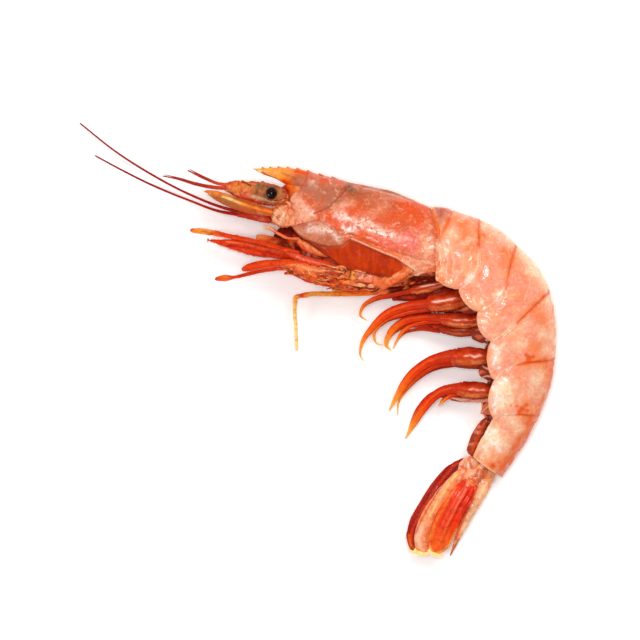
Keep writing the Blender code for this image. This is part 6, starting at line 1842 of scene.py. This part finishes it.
SWIMMERET_RED = (0.60, 0.055, 0.010)
SWIMMERET_DARK = (0.34, 0.012, 0.003)
SWIMMERET_RUST = (0.54, 0.085, 0.016)
SWIMMERET_ORANGE = (0.80, 0.24, 0.08)
GROOVE_DARK = (0.22, 0.008, 0.002)
SWIMMERET_EDGE_SHADE = (0.20, 0.008, 0.002)
SWIMMERET_TIP = (0.58, 0.035, 0.006)
SWIMMERET_PAINTED_HIGHLIGHT = (0.96, 0.62, 0.50)
RIGHT_SHADE = (0.26, 0.010, 0.003)
LASH_EDGE_SHADE = (0.46, 0.012, 0.002)
LASH_GROOVE = (0.40, 0.010, 0.002)
LASH_PAINTED_LIGHT = (0.88, 0.13, 0.02)
RIGHT_LASH_SHADE = (0.40, 0.014, 0.003)
SWIMMERETS = {
    1: (
        [(446, 282.4, 10.8, 2.2, 1.8), (430, 285.8, 10.4, 4, 2.2), (408, 290.4, 8.8, 2.8, 1.6)],
        [
            (414, 289.4, 9.1, 2.4, 1.6), (392, 294.6, 7.6, 1.7, 1.3), (374, 299, 6.2, 1.4, 1),
            (362.8, 307, 5, 1.1, 0.8), (360.4, 315.6, 3.8, 0.7, 0.6), (367, 320.6, 3, 0.3, 0.3),
        ],
    ),
    2: (
        [(470, 297.6, 11.4, 4.4, 2.4), (450, 300.4, 11.4, 6.4, 3), (426, 304, 10.6, 4.8, 2.4)],
        [
            (432, 303.4, 10.8, 3.2, 2), (408, 306.4, 9.8, 3, 1.6), (388, 313.6, 8.6, 2.8, 1.3),
            (372, 328, 6.6, 2, 1), (361.6, 345, 4.6, 1.1, 0.7), (360.6, 356, 3.4, 0.6, 0.5),
            (364, 361.4, 2.8, 0.3, 0.3),
        ],
        [
            (430, 308.4, 10, 1.8, 1.4), (404, 313.2, 9, 1.7, 1.1), (384, 321, 7.6, 1.4, 0.9),
            (374.2, 333, 6, 1, 0.8), (377, 343.6, 5, 0.5, 0.5), (383.5, 345, 4.6, 0.3, 0.3),
        ],
    ),
    3: (
        [(484, 320, 9.9, 3.2, 2), (464, 321, 9.7, 4.8, 2.4), (440, 318.4, 8.9, 3.6, 1.8)],
        [
            (444, 317.8, 9, 3, 1.6), (422, 317.6, 7.2, 2.4, 1.3), (402, 322.4, 5.6, 2.4, 1.1),
            (389.6, 334.4, 4.2, 2, 1), (386.6, 345.6, 3.2, 1.2, 0.8), (391.4, 350.8, 2.6, 0.4, 0.4),
        ],
        [
            (442, 321.4, 8.5, 1.6, 1.2), (420, 323, 6.6, 1.4, 0.9), (403.6, 330.8, 4.8, 1.1, 0.8),
            (396.4, 342, 3.6, 0.7, 0.6), (393.2, 349, 2.8, 0.5, 0.4),
        ],
    ),
    4: (
        [(492, 357, 9.6, 4.2, 2.4), (470, 356.6, 9.8, 6.2, 3), (449, 357.2, 9, 4.8, 2.2)],
        [
            (454, 355.6, 9.2, 4.4, 1.9), (430, 361.6, 8, 3.2, 1.5), (410, 377, 6.2, 2.9, 1.2),
            (398, 395, 4.4, 1.9, 0.9), (389, 411.4, 3, 0.4, 0.4),
        ],
        [
            (458, 360.6, 8.8, 1.8, 1.2), (432, 367.4, 6.9, 1.6, 0.9), (411, 384, 4.8, 1.2, 0.8),
            (398.4, 404, 3, 0.7, 0.5), (398, 416.4, 2.4, 0.3, 0.3),
        ],
    ),
    5: (
        [(493, 391, 8.4, 3.8, 2.2), (474, 390.4, 8.6, 5.6, 2.6), (455, 388.4, 7.8, 3.8, 2)],
        [
            (461, 388, 8, 3.6, 1.7), (441, 392, 7, 3, 1.4), (424, 408, 5.2, 2.7, 1.1),
            (413, 426, 3.6, 1.7, 0.8), (405.4, 439.4, 2.4, 0.4, 0.4),
        ],
        [
            (466, 391.6, 8, 1.8, 1.2), (450, 396.4, 6.6, 1.4, 0.8), (438, 406, 5.2, 0.5, 0.4),
        ],
    ),
}
RIGHT_SHIFT = {1: (2.0, 2.0), 2: (2.0, 3.0), 3: (-1.0, 10.0), 4: (1.0, 3.5), 5: (-10.5, 5.0)}
RIGHT_KEEP = 0.86
RIGHT_SLIM = 0.78
RIGHT_TIP_SHIFT = 0.1


def right_swimmeret(rows, number, root_height, keep, tip_shift):
    """The right-hand limb of a pair, slimmer and lower, which shows beyond the left one by its shift."""
    middle = (TAIL_JOINTS[number, 4] + TAIL_JOINTS[number - 1, 4]) / 2 - REST_PRESS
    route = smooth(rows, ROUTE_STEPS)[: round(ROUTE_STEPS * keep)]
    fade = np.linspace(1.0, tip_shift, len(route))
    route[:, :2] += np.outer(fade, RIGHT_SHIFT[number])
    route[:, 2] = np.maximum(2 * middle - 2 * root_height + route[:, 2], RIGHT_LOWEST)
    route[:, 3:] *= RIGHT_SLIM
    return route


# Dark folds of skin between and below the stout bases, partly painted shade, and the far swimmerets' pale
# edges.
WEBS = {
    1: [(460, 290.6, 9, 2.6, 1.4), (438, 292.4, 8.6, 3.8, 1.6), (414, 296, 7.4, 3.2, 1.2),
        (392, 299, 6.2, 1.2, 0.8)],
    2: [(486, 309, 9, 2.4, 1.4), (466, 310.6, 8.8, 3, 1.4), (444, 310.6, 8.2, 2, 1)],
    3: [(486, 328, 7.2, 3.4, 1.6), (462, 330.6, 6.6, 3, 1.4), (440, 328, 6, 2, 1.2),
        (423, 322.6, 5.4, 0.7, 0.6)],
    4: [(488, 366.4, 7.6, 1.6, 1), (466, 367, 7.2, 1.1, 0.8), (446, 364.6, 6.8, 0.4, 0.4)],
    5: [(490, 400.4, 7, 1.3, 0.9), (468, 400.2, 6.6, 1.2, 0.8), (448, 397.6, 6, 0.4, 0.4)],
}
WEB_TONES = {
    1: (0.24, 0.008, 0.003), 2: MAROON, 3: (0.22, 0.008, 0.003), 4: (0.30, 0.012, 0.004),
    5: (0.86, 0.34, 0.22),
}


def lanes(grid, seed):
    """How far over each point lies from one side of a limb to the other, from -1 to 1, a little uneven."""
    turn = math.tau * (np.arange(grid.shape[1]) + 0.5) / grid.shape[1]
    return np.cos(turn) + 0.14 * lumps(grid, 1.6, seed)


LASH_TONES = (
    (0.0, (0.50, 0.035, 0.006)), (0.2, (0.60, 0.028, 0.004)), (0.5, SCARLET), (0.74, ORANGE), (0.88, AMBER),
    (1.0, STRAW),
)
# Where the painted highlight line on each base starts and ends, as shares of its length.
HIGHLIGHT_FROM = {1: (0.1, 0.2), 2: (0.30, 0.38), 3: (0.34, 0.42), 4: (0.20, 0.28), 5: (0.18, 0.26)}
HIGHLIGHT_TO = {1: (0.8, 0.6), 2: (0.88, 0.80), 3: (0.74, 0.64), 4: (0.68, 0.58), 5: (0.66, 0.56)}
swimmeret_paint = tissue("swimmeret_wet", 0.24, 0.0, 0.10, mottle=0.4, size=1.4, bump=0.10)
for number, (base_rows, *lash_rows) in SWIMMERETS.items():
    root_height = base_rows[0][2]
    for side in ("left", "right"):
        if side == "right":
            base_rows = right_swimmeret(base_rows, number, root_height, 1.0, 1.0)
            lower = (number, root_height, RIGHT_KEEP, RIGHT_TIP_SHIFT)
            lash_rows = [right_swimmeret(lash, *lower) for lash in lash_rows]
        base = limb(base_rows, 100, 48, 0.08, joints=(0.82,), seed=number, blunt=0.14)
        lane = lanes(base, number)
        height = 0.26 * hump(lane, 0.2, -0.12) - 0.16 * hump(lane, 0.16, 0.3)
        base = raised(base, height)
        share = share_along(base.mean(axis=1))[:, None]
        dots = ease(lumps(base * [0.4, 1.4, 1.0], 1.2, number + 4), -0.15, 0.2)
        flank = ease(lumps(base * [0.5, 1.0, 1.0], 1.4, number + 11), -0.3, 0.3)
        tint = Tint(base, SWIMMERET_RED)
        tint.over(SWIMMERET_DARK, (0.5 + 0.5 * flank) * ease(lane, -0.15, -0.65))
        tint.over(SWIMMERET_RUST, 0.85 * ease(lane, 0.25, 0.45))
        tint.over(SWIMMERET_ORANGE, 0.6 * ease(lane, 0.36, 0.5) * ease(lane, 0.9, 0.7) * dots)
        tint.over(GROOVE_DARK, 0.75 * hump(lane, 0.08, 0.28) * flank * ease(share, 0.9, 0.7))
        # Painted shade along the lower edge of each base.
        tint.over(SWIMMERET_EDGE_SHADE, 0.7 * ease(lane, 0.8, 0.97))
        tint.over(SCARLET, 0.6 * ease(lane, 0.05, -0.1) * ease(lane, -0.45, -0.25) * flank)
        tint.over(SWIMMERET_TIP, ease(share, 0.72, 0.98))
        # Painted highlight: a pale wet line along each base.
        base_highlight = hump(lane, 0.09, -0.1) * ease(share, *HIGHLIGHT_FROM[number]) * ease(share, *HIGHLIGHT_TO[number])
        tint.over(SWIMMERET_PAINTED_HIGHLIGHT, 0.95 * base_highlight * (0.3 + 0.7 * dots))
        if side == "right":
            tint.over(RIGHT_SHADE, 0.5)
        tints = [tint]
        if side == "left":
            web = Tint(limb(WEBS[number], 90, 32, 0.12, seed=number + 2.0), WEB_TONES[number])
            web.mottle(SCARLET, 0.5, 1.2, number, 0.1, 0.4, (0.4, 1.4, 1.0))
            tints.append(web)
        for i, lash in enumerate(lash_rows):
            grid = limb(lash, 160, 32, 0.04, seed=number + i)
            tint = Tint(grid, blend_along(grid, *LASH_TONES))
            lane = lanes(grid, number + i + 6)
            share = share_along(grid.mean(axis=1))[:, None]
            # Painted shade darkens both edges of each lash, and painted light brightens a band down its
            # middle.
            tint.over(LASH_EDGE_SHADE, 0.6 * ease(abs(lane), 0.6, 0.9) * ease(share, 0.9, 0.6))
            tint.over(LASH_GROOVE, 0.5 * hump(lane, 0.12, 0.15) * ease(share, 0.7, 0.4))
            tint.over(LASH_PAINTED_LIGHT, 0.6 * hump(lane, 0.2, -0.2) * ease(share, 0.05, 0.3))
            if side == "right":
                tint.over(RIGHT_LASH_SHADE, 0.55 * ease(share, 1.0, 0.7))
            tints.append(tint)
        painted(f"swimmeret_{number}_{side}", tints, swimmeret_paint, f"pleopod_{number}_{side}")

# ---------------------------------------------------------------- table, light and camera
# A pale matt table under a wide soft light from above, and a long lens that looks straight down.

VIEW_MIDDLE_PX = 320.0
VIEW_SIDE_PX = 640.0
LENS_MM, SENSOR_MM = 400.0, 36.0
CAMERA_REACH = 10.0
TABLE_SIDE = 6.0
TABLE_GREY, TABLE_WHITE = (0.93, 0.925, 0.92), (0.95, 0.945, 0.94)
TABLE_GLOW, TABLE_GLOW_STRENGTH = (1.0, 0.99, 0.985), 0.12
ROOM_WHITE, ROOM_STRENGTH = (1.0, 0.985, 0.975, 1.0), 0.42
# The lights' places and sides in metres.
KEY_PLACE, KEY_SIZE, KEY_BRIGHTNESS = (0.24, 0.30, 0.48), 0.30, 0.38
STRIP_PLACE, STRIP_SIZE, STRIP_BRIGHTNESS = (-0.48, -0.20, 0.26), 0.20, 0.13
OVERHEAD_PLACE, OVERHEAD_SIZE, OVERHEAD_BRIGHTNESS = (-0.02, 0.02, 0.70), 0.15, 0.34

bpy.ops.mesh.primitive_plane_add(size=TABLE_SIDE, location=(0.0, 0.0, 0.0))
table = bpy.context.object
table.name = "table"
table_paint = Paint("table_top", 0.85, film=0.0, depth=0.0)
table_paint.colour(table_paint.mix(table_paint.grain(40.0, 2.0), TABLE_GREY, TABLE_WHITE))
table_paint.put(table_paint.shader.inputs["Emission Color"], TABLE_GLOW)
table_paint.put(table_paint.shader.inputs["Emission Strength"], TABLE_GLOW_STRENGTH)
table.data.materials.append(table_paint.material)

world = bpy.data.worlds.new("soft_white")
world.use_nodes = True
world.node_tree.nodes["Background"].inputs["Color"].default_value = ROOM_WHITE
world.node_tree.nodes["Background"].inputs["Strength"].default_value = ROOM_STRENGTH
world.cycles_visibility.glossy = False
bpy.context.scene.world = world


def softbox(name, place, size, brightness, glossy=True):
    """A square area light that faces the shrimp. Its brightness is what it adds to a white table there, and
    glossy says whether wet skin mirrors it."""
    place = Vector(place)
    data = bpy.data.lights.new(name, "AREA")
    data.shape = "SQUARE"
    data.size = size
    data.energy = brightness * math.pi**2 * place.length**3 / place.z
    lamp = bpy.data.objects.new(name, data)
    lamp.location = place
    lamp.rotation_mode = "QUATERNION"
    lamp.rotation_quaternion = (-place).to_track_quat("-Z", "Y")
    lamp.visible_glossy = glossy
    bpy.context.scene.collection.objects.link(lamp)


softbox("key", KEY_PLACE, KEY_SIZE, KEY_BRIGHTNESS, glossy=False)
softbox("left_strip", STRIP_PLACE, STRIP_SIZE, STRIP_BRIGHTNESS)
softbox("overhead", OVERHEAD_PLACE, OVERHEAD_SIZE, OVERHEAD_BRIGHTNESS)

camera_data = bpy.data.cameras.new("view")
camera_data.lens = LENS_MM
camera_data.sensor_width = SENSOR_MM
camera = bpy.data.objects.new("view", camera_data)
aim = at(VIEW_MIDDLE_PX, VIEW_MIDDLE_PX, HEAD_MIDDLE)
camera.location = (aim[0], aim[1], aim[2] + VIEW_SIDE_PX * PIXEL * LENS_MM / SENSOR_MM)
camera_data.clip_end = CAMERA_REACH
bpy.context.scene.collection.objects.link(camera)
bpy.context.scene.camera = camera
bpy.context.scene.view_settings.view_transform = "Standard"
